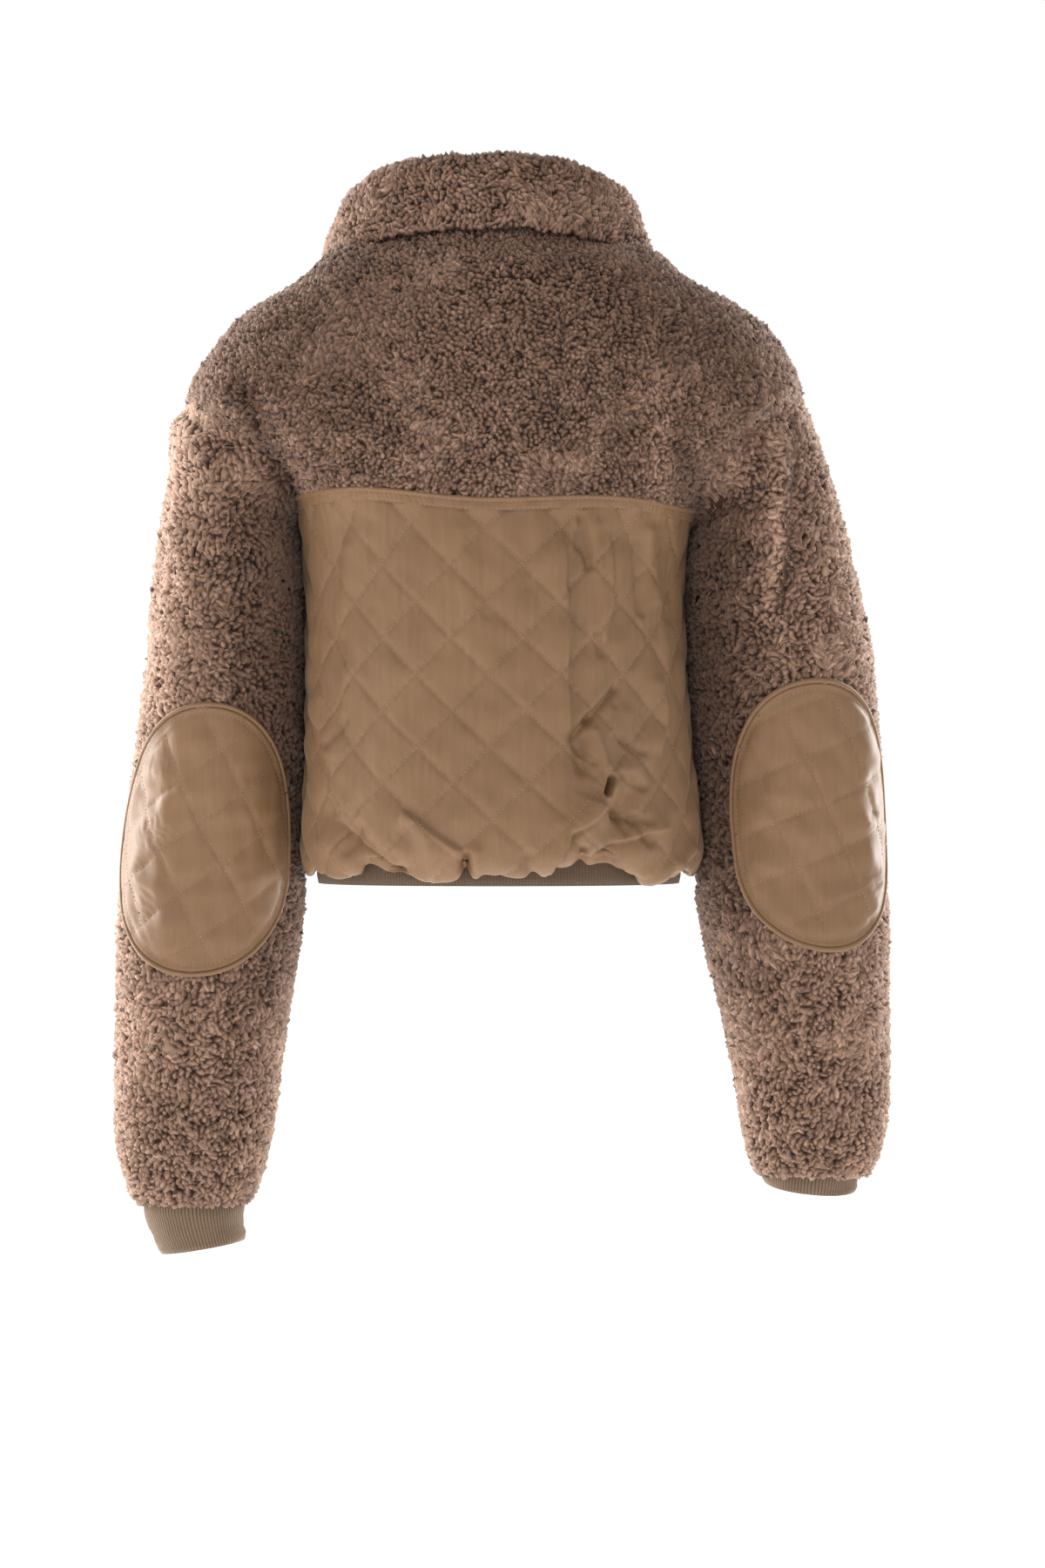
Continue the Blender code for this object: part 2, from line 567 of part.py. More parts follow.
def build_sleeve(name, side, rings, table):
    places = np.array(SLEEVE_PLACES, dtype=float)[:, None]
    turns = np.linspace(0, 2 * math.pi, SLEEVE_COLUMNS, endpoint=False)[None, :]
    base = sleeve_point(side, rings, places, turns)
    normal = sleeve_normal(side, rings, places, turns)
    face = base + normal * sleeve_folds(table, base, places, turns)[..., None]
    lining = face - WALL * normal
    away = unit(sleeve_point(side, rings, 0.5, turns[0]) - base[0])
    face[0] = base[0] + away * SEAM
    lining[0] = face[0] + WALL * armhole_inward(side, turns[0])
    wall(name, face, lining, FLEECE, tube=True)


def build_cuff(name, side, rings, table):
    """A rib cuff inside the sleeve's turned-in end, open at the hand."""
    top = rings[-1]
    turns = np.linspace(0, 2 * math.pi, SLEEVE_COLUMNS, endpoint=False)
    across = signed_power(np.cos(turns), 2 / top.square)
    deep = signed_power(np.sin(turns), 2 / top.square)

    def ring(station, inset):
        outer = top.outer - SEAM - inset - station.outer_in
        inner = top.inner + SEAM + inset + station.inner_in
        x = (outer + inner) / 2 + (outer - inner) / 2 * across
        y = top.middle + (top.depth - SEAM - inset) * deep
        z = top.z - station.down + station.tilt / 2 * across - station.back_down * deep
        return np.stack([side * x, y, z + np.zeros(turns.shape)], axis=-1)

    face = np.array([ring(station, 0.0) for station in table])
    lining = np.array([ring(station, RIB_WALL) for station in table])
    wall(name, face, lining, RIB, tube=True)


def patch_place(patch, rings, reach, bearing):
    """Places and turns on a sleeve at a bearing from the patch's middle; reach 1 is its edge."""
    z = patch.z + patch.half_height * reach * np.sin(bearing)
    turn = math.radians(patch.turn) - patch.half_width / SLEEVE_RADIUS * reach * np.cos(bearing)
    heights = [-ring.z for ring in rings[3:9]]
    return 4 + np.interp(-z, heights, np.arange(6)), turn


def on_sleeve(side, rings, table, place, turn, lift):
    base = sleeve_point(side, rings, place, turn)
    normal = sleeve_normal(side, rings, place, turn)
    return base + normal * (sleeve_folds(table, base, place, turn)[..., None] + lift)


def build_patch(name, side, rings, table, patch):
    """An oval elbow patch, made from the sleeve's points moved out."""
    bearings = np.linspace(0, 2 * math.pi, PATCH_COLUMNS, endpoint=False)[None, :]
    reaches = np.array([0.34, 0.68, 1.0])[:, None]
    place, turn = patch_place(patch, rings, reaches, bearings)
    middle_place, middle_turn = patch_place(patch, rings, np.array(0.0), np.array(0.0))
    vertices = []
    for lift in (SEAM, SEAM + PATCH_WALL):
        grid = on_sleeve(side, rings, table, place, turn, PATCH_CLEAR + lift)
        centre = on_sleeve(side, rings, table, middle_place, middle_turn, PATCH_CLEAR + lift)
        vertices.extend([centre, *grid.reshape(-1, 3)])
    half = len(vertices) // 2
    faces = []
    for c in range(PATCH_COLUMNS):
        d = (c + 1) % PATCH_COLUMNS
        for start in (0, half):
            faces.append((start, start + 1 + c, start + 1 + d))
            for r in range(len(reaches) - 1):
                a = start + 1 + r * PATCH_COLUMNS
                faces.append((a + c, a + PATCH_COLUMNS + c, a + PATCH_COLUMNS + d, a + d))
        a = 1 + (len(reaches) - 1) * PATCH_COLUMNS
        faces.append((a + c, a + d, half + a + d, half + a + c))
    make(name, vertices, faces, QUILT)


def build_piping(name, side, rings, table, patch):
    """The narrow rolled edge round an elbow patch."""
    bearings = np.linspace(0, 2 * math.pi, PATCH_COLUMNS, endpoint=False)
    margin = (SEAM + PIPING_RADIUS) / patch.half_height
    face = []
    for corner in range(4):
        angle = math.pi / 4 + corner * math.pi / 2
        reach = 1 + margin * 1.35 + PIPING_RADIUS * math.cos(angle) / patch.half_width
        place, turn = patch_place(patch, rings, np.full(bearings.shape, reach), bearings)
        lift = PATCH_CLEAR + SEAM + PIPING_RADIUS * (1 + math.sin(angle))
        face.append(on_sleeve(side, rings, table, place, turn, lift))
    vertices = np.concatenate(face)
    faces = []
    for corner in range(4):
        for c in range(PATCH_COLUMNS):
            d = (c + 1) % PATCH_COLUMNS
            a, b = corner * PATCH_COLUMNS, (corner + 1) % 4 * PATCH_COLUMNS
            faces.append((a + c, a + d, b + d, b + c))
    make(name, vertices, faces, QUILT)


def build_collar():
    """The fold-down collar, one wall from the neck seam over the fold to the edge of the fall."""
    face = []
    middles = []
    for station in COLLAR:
        start = angle_at_front(np.array(float(ROW_NECK)), station.half_opening)
        angles = np.linspace(start, 2 * math.pi + 2 * FRONT - start, COLLAR_COLUMNS)
        seam = body_point(ROW_NECK, angles)
        out = unit(seam * np.array([1.0, 1.0, 0.0]))
        back = np.maximum(np.sin(angles), 0) ** 2
        front = np.maximum(-np.sin(angles), 0) ** 2
        sides = 1 - back - front
        reach = back * station.back_out + sides * station.side_out + front * station.front_out
        height = back * station.back_up + sides * station.side_up + front * station.front_up
        face.append(seam + out * reach[:, None] + np.array([0, 0, 1.0]) * height[:, None])
        middles.append(out)
    face = np.array(face)
    along = np.gradient(face, axis=0)
    around = np.gradient(face, axis=1)
    hidden = unit(np.cross(along, around))
    toward = hidden[0] * np.array(middles[0])
    if toward.sum() < 0:
        hidden = -hidden
    hidden[0] = middles[0]
    wall("collar", face, face + WALL * hidden, FLEECE)


def build_zip_tapes():
    """Two tapes behind the front edges, from the foot of the rib band to the neck."""
    heights, depths = zip_line()
    for name, side in (("zip_tape_left", 1), ("zip_tape_right", -1)):
        face = []
        lining = []
        for z, y in zip(heights, depths):
            inner, outer = side * SEAM / 2, side * TAPE_WIDTH
            face.append([(inner, y, z), (outer, y, z)])
            lining.append([(inner, y + TAPE_WALL, z), (outer, y + TAPE_WALL, z)])
        wall(name, np.array(face), np.array(lining), TAPE)


def zip_line():
    """Heights and depths of the tapes' outer face, behind the front panels and the band."""
    rows = np.linspace(5.0, ROW_NECK - 0.15, 12)
    line = body_point(rows, np.full(rows.shape, FRONT))
    normal = body_normal(rows, np.full(rows.shape, FRONT))
    line = line - normal * (WALL + 3 * SEAM)
    band = BODY[ROW_EDGE]
    behind = -band.front + RIB_WALL + 4 * SEAM
    heights = [band.z - BAND_HEIGHT, band.z, band.z + 0.016, *line[:, 2]]
    depths = [behind, behind + WALL + SEAM, behind, *line[:, 1]]
    return heights, depths


def prism(name, outline, axis, start, end, holder, cloth):
    """An outline in the two other axes, run from start to end along X or Y."""
    count = len(outline)
    vertices = []
    for reach in (start, end):
        for across, up in outline:
            vertices.append((reach, across, up) if axis == "X" else (across, reach, up))
    faces = [tuple(range(count)), tuple(range(2 * count - 1, count - 1, -1))]
    faces += [(i, count + i, count + (i + 1) % count, (i + 1) % count) for i in range(count)]
    piece = make(name, vertices, faces, cloth, smooth=False)
    piece.parent = holder
    return piece


def disc(radius, sides=16):
    steps = [2 * math.pi * i / sides for i in range(sides)]
    return [(radius * math.cos(a), radius * math.sin(a)) for a in steps]


def combine(piece, helper, operation):
    helper.hide_render = True
    helper.display_type = "WIRE"
    change = piece.modifiers.new(helper.name, "BOOLEAN")
    change.operation = operation
    change.solver = "EXACT"
    change.object = helper


def build_slider_and_pull():
    """The slider on the tapes' outer faces, and the pull that hangs on its pin."""
    heights, depths = zip_line()
    depth = np.interp(SLIDER_HEIGHT, heights, depths)
    above = np.interp(SLIDER_HEIGHT + 0.004, heights, depths)
    below = np.interp(SLIDER_HEIGHT - 0.004, heights, depths)
    head = bpy.data.objects.new("zip_head", None)
    bpy.context.scene.collection.objects.link(head)
    head.location = (0, depth - SLIDER_LIFT, SLIDER_HEIGHT)
    head.rotation_euler = (-math.atan2(above - below, 0.008), 0, 0)
    shield = [(0.0026, 0.0050), (0.0042, 0.0034), (0.0034, -0.0050), (0.0012, -0.0056)]
    shield += [(-x, z) for x, z in reversed(shield)]
    slider = prism("zip_slider", shield, "Y", -SLIDER_WALL, 0, head, METAL)
    lug = [(-0.0015, 0.0000), (-0.0015, 0.0050), (-0.0050, 0.0046)]
    lug += [(-0.0064, 0.0034), (-0.0064, 0.0020), (-0.0046, 0.0006)]
    for side in (1, -1):
        ends = sorted(side * (PULL_EYE_HALF_WIDTH + reach) for reach in (SEAM, 0.0012))
        combine(slider, prism(f"lug_{side}", lug, "X", *ends, head, METAL), "UNION")
    pin = [(y + PIN_Y, z + PIN_Z) for y, z in disc(PIN_RADIUS)]
    reach = PULL_EYE_HALF_WIDTH + 0.0008
    combine(slider, prism("pin", pin, "X", -reach, reach, head, METAL), "UNION")

    swing = bpy.data.objects.new("zip_pull_axis", None)
    bpy.context.scene.collection.objects.link(swing)
    swing.parent = head
    swing.location = (0, PIN_Y, PIN_Z)
    eye = disc(PIN_RADIUS + 0.0013)
    pull = prism("zip_pull", eye, "X", -PULL_EYE_HALF_WIDTH, PULL_EYE_HALF_WIDTH, swing, METAL)
    tab = [(0.0011, -0.0008), (0.0018, -0.0060), (0.0026, -0.0180)]
    tab += [(0.0022, 0.0012 - PULL_LENGTH), (0.0010, -PULL_LENGTH)]
    tab += [(-x, z) for x, z in reversed(tab)]
    combine(pull, prism("tab", tab, "Y", -0.0007, 0.0007, swing, METAL), "UNION")
    hole = disc(PIN_RADIUS + PULL_RUNNING)
    reach = PULL_EYE_HALF_WIDTH + 0.001
    combine(pull, prism("hole", hole, "X", -reach, reach, swing, METAL), "DIFFERENCE")


build_yokes()
build_quilted_panels()
build_yoke_band()
build_hem_band()
build_sleeve("sleeve_left", 1, LEFT_RINGS, LEFT_FOLDS)
build_sleeve("sleeve_right", -1, RIGHT_RINGS, RIGHT_FOLDS)
build_cuff("cuff_left", 1, LEFT_RINGS, LEFT_CUFF)
build_cuff("cuff_right", -1, RIGHT_RINGS, RIGHT_CUFF)
build_patch("elbow_patch_left", 1, LEFT_RINGS, LEFT_FOLDS, LEFT_PATCH)
build_patch("elbow_patch_right", -1, RIGHT_RINGS, RIGHT_FOLDS, RIGHT_PATCH)
build_piping("patch_piping_left", 1, LEFT_RINGS, LEFT_FOLDS, LEFT_PATCH)
build_piping("patch_piping_right", -1, RIGHT_RINGS, RIGHT_FOLDS, RIGHT_PATCH)
build_collar()
build_zip_tapes()
build_slider_and_pull()
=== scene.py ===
"""Looks of a cropped bomber jacket in curly pile fleece, hollow as it is worn.

Metres, +Z up, the front faces -Y and the wearer's left arm is on +X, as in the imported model.
The tables and the functions of the form are those of the part's source. Here each cut piece gets
a finer shell on the same form, with its quilting, ribs and creases, and the fleece gets its pile.
"""
import math
from collections import namedtuple

import bpy
import numpy as np
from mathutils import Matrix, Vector
from mathutils.kdtree import KDTree


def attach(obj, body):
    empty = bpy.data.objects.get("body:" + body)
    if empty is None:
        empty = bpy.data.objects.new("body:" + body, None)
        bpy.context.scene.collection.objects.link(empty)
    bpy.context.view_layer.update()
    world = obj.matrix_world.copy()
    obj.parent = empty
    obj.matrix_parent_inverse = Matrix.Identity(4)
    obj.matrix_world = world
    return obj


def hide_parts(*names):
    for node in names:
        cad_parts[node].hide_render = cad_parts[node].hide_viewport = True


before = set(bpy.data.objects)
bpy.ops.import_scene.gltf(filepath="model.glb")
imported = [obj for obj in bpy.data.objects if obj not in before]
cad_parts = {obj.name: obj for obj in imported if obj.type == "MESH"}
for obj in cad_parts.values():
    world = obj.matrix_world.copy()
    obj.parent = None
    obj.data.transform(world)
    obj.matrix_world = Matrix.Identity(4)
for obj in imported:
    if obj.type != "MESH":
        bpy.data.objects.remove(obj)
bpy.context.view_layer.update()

# Driving sizes
WALL = 0.0022            # fleece and quilted cloth
RIB_WALL = 0.0018        # rib knit
TAPE_WALL = 0.0009       # zip tape
SEAM = 0.0003            # gap between two pieces that are sewn together
ARM_DEPTH = 0.084        # half the front-to-back depth of the armhole
BAND_HEIGHT = 0.044      # rib hem band
ZIP_HALF_GAP = 0.006     # from the middle of the zip to the front edges
TAPE_WIDTH = 0.013       # each zip tape
YOKE_BAND_HEIGHT = 0.010
YOKE_BAND_WALL = 0.0012
PATCH_WALL = 0.0014
PATCH_CLEAR = 0.0012     # how far the facets of a patch stay off the sleeve's own facets
PIPING_RADIUS = 0.0014
SLIDER_HEIGHT = -0.076   # where the closed zip's slider stands
SLEEVE_RADIUS = 0.064    # mean radius, which turns degrees into distance round a sleeve
BACK_COLUMNS = 25        # of the solids' grid, whose first and last the yoke band leaves free
SIDE_FADE = 0.030        # how near the side seams the folds and creases fade out

BACK = math.pi / 2
FRONT = -math.pi / 2
ROUND = 2 * math.pi


# ---------------------------------------------------------------- tables of the form

def metres(millimetres):
    return round(millimetres / 1000, 7)


def table(names, rows, exact=""):
    """Rows with named columns, in millimetres apart from the columns that are named as exact."""
    kind = namedtuple("Row", names)
    plain = [name in exact.split() for name in kind._fields]
    return [kind(*(value if kept else metres(value) for value, kept in zip(row, plain))) for row in rows]


# Level sections of the body, from the edge that is turned in under the hem up to the neck.
# z is the height at the sides, rise and drop what the back lies above it and the front below it,
# width, back and front the reach from the middle, square is 2 for an ellipse, and shift moves the
# section sideways.
BODY = table("z rise drop width back front square shift", [
    (-404, 0, 0, 129, 118, 116, 2.4, -3),           # turned-in edge
    (-430, 0, 0, 130, 119.5, 117.5, 2.4, -3),
    (-442, 0, 0, 135, 127, 123, 2.4, -4),           # lowest line
    (-432, 0, 0, 141, 137, 131, 2.4, -5),
    (-402, 0, 0, 141, 142, 134, 2.4, -5),
    (-355, 0, 0, 137, 141, 134, 2.4, -3),
    (-290, 0, 0, 134.5, 139, 134, 2.4, -1),
    (-235, 0, 0, 134, 137, 134, 2.4, 0),
    (-202, 0, 0, 137.5, 135.5, 134, 2.5, 0),
    (-180, 0, 2, 145, 134.5, 133, 2.6, 0),          # yoke seam and armpit
    (-159, 0, 5, 165, 133, 131, 2.8, 0),
    (-133, 0, 10, 198, 130, 128, 3, 0),
    (-106, 1, 14, 215, 126, 124, 2.7, 0),           # top of the armhole
    (-72, 2, 32, 198.5, 119, 117, 2.4, -3),
    (-52, 7, 42, 177, 111, 110, 2.2, -2),
    (-36, 15, 45, 145, 99, 102, 2.1, 0),
    (-20, 21, 49, 108, 84, 94, 2, 2),
    (-6, 25, 53, 82, 68, 88, 2, 4),                 # neck seam
], exact="square")
ROW_EDGE = 0             # rows of this table that the cloth is cut at or measured from
ROW_LOW = 2
ROW_MIDDLE = 6
ROW_YOKE = 9             # the yoke's seam and the armpit
ROW_ARM_TOP = 12
ROW_NECK = 17

# The yoke seam's height along the back: how far it lies above or below its section.
YOKE_SWAY = table("x half_width lift", [(100, 50, 6), (0, 50, -3), (-140, 35, -6)])
SWAY_HEIGHT = 0.040      # how far above and below the seam the sway fades out

# Gathers of the blouse over the rib band: where the lowest line is pulled up, by angle in degrees.
GATHERS = table("angle half_width lift", [
    (18, 7, 6), (52, 6, 9), (83, 5, 3), (112, 14, 10), (160, 8, 7), (200, 8, 6), (226, 7, 9), (250, 5, 5),
    (291, 5, 6), (315, 8, 9), (342, 6, 5)
], exact="angle half_width")


# Soft folds. u runs across (x on the body; on a sleeve the turn in degrees from its outer line
# over the back) and z up, from one end to the other. A positive height is a ridge.
def folds(*rows, exact=""):
    return table("u0 z0 u1 z1 half_width height", rows, exact)


def sleeve_table(*rows):
    return folds(*rows, exact="u0 u1")


BACK_FOLDS = folds(
    (112, -398, 70, -436, 9, -6), (118, -420, 92, -436, 8, 3), (40, -415, 30, -440, 10, 3),
    (-84, -372, -46, -424, 9.5, 6), (-92, -385, -78, -430, 8, -7), (-86, -366, -100, -330, 11, -3),
    (-118, -400, -112, -440, 10, 3.5), (-52, -200, -58, -352, 11, -2.2), (-96, -205, -90, -340, 10, -2.6),
    (104, -200, 110, -330, 12, -2), (62, -300, 88, -392, 13, 2.2), (150, -128, 136, -172, 14, -4),
    (-146, -128, -134, -172, 14, -4), (0, -60, 4, -150, 26, -2)
)
FRONT_FOLDS = folds(
    (104, -385, 70, -434, 9, -5.5), (-92, -376, -62, -432, 9.5, -6), (40, -400, 34, -438, 9, 3.5),
    (-34, -404, -40, -438, 9, 3.5), (86, -205, 80, -330, 11, -2.2), (-70, -215, -76, -345, 12, -2.4),
    (146, -130, 132, -172, 14, -4), (-144, -130, -134, -172, 14, -4)
)
LEFT_FOLDS = sleeve_table(
    (40, -150, 58, -205, 11, 3.5), (105, -190, 70, -262, 12, -3.5), (30, -235, 10, -300, 12, -3),
    (168, -330, 120, -318, 10, -3), (200, -365, 250, -395, 11, -5.5), (190, -430, 262, -440, 11, -5),
    (150, -505, 110, -530, 12, -3), (20, -535, 60, -560, 13, -3), (300, -235, 330, -300, 12, -3.5),
    (320, -560, 285, -600, 12, -3.5), (75, -605, 84, -660, 9, -4), (125, -600, 118, -658, 9, -3.5)
)
RIGHT_FOLDS = sleeve_table(
    (36, -145, 52, -215, 11, 4), (100, -200, 128, -285, 12, 3.5), (70, -205, 88, -280, 11, -3.5),
    (22, -260, 12, -320, 12, -3), (205, -350, 256, -380, 11, -5.5), (188, -412, 255, -430, 11, -5),
    (160, -490, 120, -512, 12, -3.5), (25, -520, 62, -548, 13, -3), (305, -240, 335, -310, 12, -3.5),
    (318, -545, 290, -590, 12, -3.5), (98, -585, 90, -640, 9, -4), (50, -590, 56, -640, 9, -3.5)
)


# Rings of a sleeve, below the armhole. z is the height of the ring's middle and tilt what its
# outer side lies above its inner side; outer and inner are distances from the jacket's middle.
def rings(*rows):
    return table("z tilt outer inner middle depth square", rows, exact="square")


LEFT_RINGS = rings(
    (-167, 60, 223, 151.5, 0, 82, 2), (-192, 34, 230.5, 151, 0, 78, 2), (-224, 12, 238, 149, 0, 73.5, 2),
    (-285, 0, 245, 145, 0, 69, 2.1), (-347, 0, 251, 143.5, 0, 67, 2.1), (-415, 0, 261, 144, -3, 66, 2.1),
    (-467, 0, 265.5, 144, -5, 65, 2.1), (-533, 0, 267.5, 150.5, -8, 63, 2.1),
    (-595, 0, 268.5, 156.5, -10, 59, 2.1), (-634, 3, 268, 162.5, -11, 55, 2.1),
    (-661, 2, 262, 170, -12, 45, 2.1), (-675, 0, 254, 176, -12, 34.5, 2.1),
    (-670, 0, 249.5, 178.5, -12, 29, 2.1), (-655, 0, 248.8, 179.2, -12, 28.3, 2.1)
)
RIGHT_RINGS = rings(
    (-167, 60, 228, 151.5, 0, 82, 2), (-192, 34, 240, 150, 0, 78, 2), (-224, 12, 251, 148, 0, 73.5, 2),
    (-285, 0, 266, 145.5, 0, 69, 2.1), (-347, 0, 271, 149, 0, 67, 2.1), (-415, 0, 274.5, 153, -3, 66, 2.1),
    (-467, 0, 278, 151, -5, 65, 2.1), (-533, 0, 278.5, 163.5, -8, 63, 2.1),
    (-588, 0, 279, 173.5, -10, 58, 2.1), (-618, 2, 278, 178, -11, 54, 2.1),
    (-642, 2, 272.5, 183.5, -12, 45, 2.1), (-655, 0, 266, 188.5, -12, 34.5, 2.1),
    (-645, 0, 262, 191, -12, 29, 2.1), (-617, 0, 261.2, 191.8, -12, 28.3, 2.1)
)


# A cuff's change from its top ring to its open end: down, inward at the outer and inner side.
def cuff(*rows):
    return table("down tilt outer_in inner_in back_down", rows)


LEFT_CUFF = cuff((0, 0, 0, 0, 0), (27, -2, -1, 1, 0), (53, -10, 10, -1, 0))
RIGHT_CUFF = cuff((0, 0, 0, 0, 0), (27, 0, 0, 1, 1), (47, -6, 3, 0, 5))

# Elbow patches: the turn of the middle in degrees, its height, and half its width and height.
LEFT_PATCH, RIGHT_PATCH = table("turn z half_width half_height", [
    (87, -417, 77, 92), (74, -400, 68, 92)], exact="turn")

# The collar from the neck seam up the stand, over the fold and down the fall. Each station gives
# how far out of the neck seam and above it the visible face lies, at the back, sides and front.
COLLAR = table("back_out back_up side_out side_up front_out front_up half_opening", [
    (-2.2, 0.5, -2.2, 0.5, -2.2, 0.5, 6), (-3, 12, -1, 12, -1, 11, 7), (-2, 24, 2, 25, 1, 22, 8),
    (1, 33.5, 6.6, 32, 4.5, 31, 10), (7.5, 39, 14.5, 36.5, 11, 35, 12), (14.5, 34.5, 23, 31, 18, 30, 16),
    (19.5, 18.5, 29, 16, 21.5, 14, 22), (23.5, 3, 33.5, 1, 24.5, -4, 29), (25, -8, 36.2, -12, 26, -19, 35)
])

# Creases that are too fine for the solids, in the same terms as the folds above
BACK_CREASES = folds(
    (-60.5, -349, -61, -367, 5.5, -3.6), (-83.5, -313, -64.8, -334, 3, -2.7),
    (-64.8, -334, -54.7, -346, 3, -2.9), (-82.6, -328, -82.6, -341, 2.6, 1.6),
    (-79.8, -375, -76.8, -383.5, 2.2, -10.5), (-93, -330, -96, -366, 6, 1.8),
    (-76, -389, -84.3, -399, 3.6, -3), (-84.3, -399, -104.2, -403.5, 3.6, -3),
    (-53, -412, -61.2, -423.6, 3.4, -3), (-61.2, -423.6, -58.9, -432, 3.4, -3),
    (-88.5, -403, -93.2, -413, 3, -2.4), (-103.9, -439.6, -123.4, -432.5, 4.5, 3),
    (-123.4, -432.5, -137, -423, 4.5, 3), (-58, -207, -58.9, -216, 3, -2.2),
    (-70, -202, -69, -232, 4.5, 1.4), (-70.7, -275.6, -73.7, -289, 3, -1.8),
    (-106, -204, -112, -250, 5, 1.8), (-116, -200, -122, -262, 5, -2), (6, -198, 4, -262, 5, -1.2),
    (22, -206, 18, -276, 6, 1), (-20, -196, -24, -244, 5, -1.2), (48, -210, 50, -268, 6, -0.8),
    (82, -200, 84, -256, 5.5, -1), (101, -216, 105, -272, 5, 1.4), (100, -300, 106, -356, 5.5, 1.4),
    (18.1, -427, 19.5, -434, 2.8, -4.4), (19.5, -434, 18.1, -446, 2.8, -4.4),
    (12, -424, 11.5, -446, 4.5, 2.6), (-24, -428, -30, -446, 4.5, -2.6), (66, -428, 60, -446, 4.5, -2.4),
    (42, -424, 44, -444, 6, 2.2), (-60, -196, -65, -230, 2.6, -2.2), (-56, -352, -69, -363, 2.6, -2.2),
    (-69, -342, -77, -366, 3, 2), (-98, -214, -102, -260, 3, -2), (-90, -348, -101, -356, 3, -2.2),
    (-87, -372, -102, -380, 3, -2.4), (-96, -404, -106, -418, 3, -2.4), (102, -334, 112, -350, 3.6, -2),
    (90, -408, 100, -424, 3.6, -2.2)
)
FRONT_CREASES = folds(
    (50, -200, 52, -262, 5.5, -1.4), (108, -206, 104, -284, 5, 2), (96, -330, 104, -392, 5, 2.2),
    (86, -388, 64, -424, 4.5, 2.6), (56, -412, 50, -444, 4.5, -3), (24, -416, 26, -446, 4.5, -2.2),
    (-44, -198, -42, -248, 5.5, -1.2), (-104, -204, -108, -276, 5, 2), (-90, -340, -84, -398, 5, 2.4),
    (-84, -396, -54, -420, 4.5, 2.4), (-52, -414, -54, -444, 4.5, -3), (-22, -414, -20, -446, 4.5, -2.2),
    (30, -300, 34, -372, 6, 1), (-56, -270, -62, -330, 5.5, 1.4)
)
# On the back yoke: the deep soft grooves in front of the armholes and the full cloth beside them
YOKE_CREASES = folds(
    (169, -106, 137, -184, 8, -7.2), (148, -120, 128, -176, 8, 3.6), (187, -84, 190, -124, 7, 3),
    (-86, -104, -88, -160, 8, -3.4), (-100, -94, -138, -98, 8, 3.4), (-138, -98, -154, -130, 8, 3.6),
    (-128, -150, -139, -186, 7.5, -5)
)
LEFT_PATCH_FOLDS = folds(
    (36, -360, 66, -372, 5, 1.4), (30, -376, 60, -392, 5, -1.4), (132, -372, 158, -366, 5, -1),
    (128, -446, 156, -440, 5, 1), (40, -440, 72, -452, 5.5, 1.2)
)
RIGHT_PATCH_FOLDS = folds(
    (22, -352, 50, -372, 5, 1.4), (18, -380, 44, -400, 5, -1.4), (112, -380, 138, -372, 5, -1),
    (108, -440, 132, -432, 5, 1)
)

# Edges of cloth that hang over, in millimetres: how far the rise to each reaches, how wide its
# drop is, its height, and points down the edge, with the raised side on the left of their way.
Ledge = namedtuple("Ledge", "wide drop height points")


def ledges(*rows):
    return [Ledge(metres(wide), metres(drop), metres(height),
                  np.array([(metres(u), metres(z)) for u, z in points]))
            for wide, drop, height, *points in rows]


BACK_LEDGES = ledges(
    (12, 1.6, 4.2, (-45.7, -201), (-48.7, -224), (-48.7, -243), (-50.2, -247), (-51.2, -268),
     (-50.2, -297), (-50, -312), (-52.7, -348)),
    (13, 1.5, 8.6, (-76.6, -384.5), (-73.7, -393.4), (-66.9, -401.1), (-52.1, -409.4), (-47, -417.7),
     (-37.6, -432.5), (-27.5, -441.9)),
    (11, 1.8, 3.8, (104.5, -402.9), (108.7, -396.9), (111.6, -378.6), (109.3, -370.3), (113, -357.9),
     (123.5, -331.2), (127.8, -307)),
    (12, 1.6, 6.2, (60.1, -440.2), (74.9, -428.3), (87.6, -418), (104.5, -403.2), (114, -398.7)),
    (10, 1.5, 4.2, (64, -395), (51.2, -403.5), (35, -415), (18.1, -426.2)),
    (9, 1.5, 4.8, (-119.8, -408.2), (-94.4, -414.1), (-64.8, -423.6)),
    (9, 1.5, 3, (-79, -204), (-80, -230), (-81.5, -254), (-72.5, -287)),
    (10, 1.8, 2.6, (-115, -300), (-118, -330), (-113, -360))
)
FRONT_LEDGES = ledges(
    (12, 2.2, 2.8, (56, -205), (60, -245), (58, -290), (62, -335)),
    (12, 2.2, 4.4, (96, -390), (78, -406), (60, -420), (48, -440)),
    (12, 2.2, 4, (-112, -386), (-90, -402), (-70, -416), (-52, -440)),
    (12, 2.2, 2.4, (-62, -210), (-58, -260), (-64, -320))
)
# On the sleeves: the full inner part over the flatter outer one, and a fold below the shoulder
LEFT_LEDGES = ledges(
    (18, 3, 4, (199, -150), (198, -115), (196, -68)),
    (18, 3, 7.5, (230, -107), (220.1, -119), (213.9, -127.1), (201.5, -140.7), (190, -150)),
    (20, 4, 3, (206, -270), (218, -220), (222, -180))
)
RIGHT_LEDGES = ledges(
    (18, 3, 9, (-190, -95), (-193.3, -116), (-197, -135), (-198.8, -152), (-198.5, -180), (-197.5, -210),
     (-195.5, -240), (-192.5, -270)),
    (20, 5, 3, (-175, -230), (-185, -190), (-182, -150))
)
# Where the right patch turns from the back to the outer side of the arm
RIGHT_PATCH_LEDGES = ledges(
    (30, 13, 3, (50, -490), (48, -420), (50, -350), (56, -310))
)

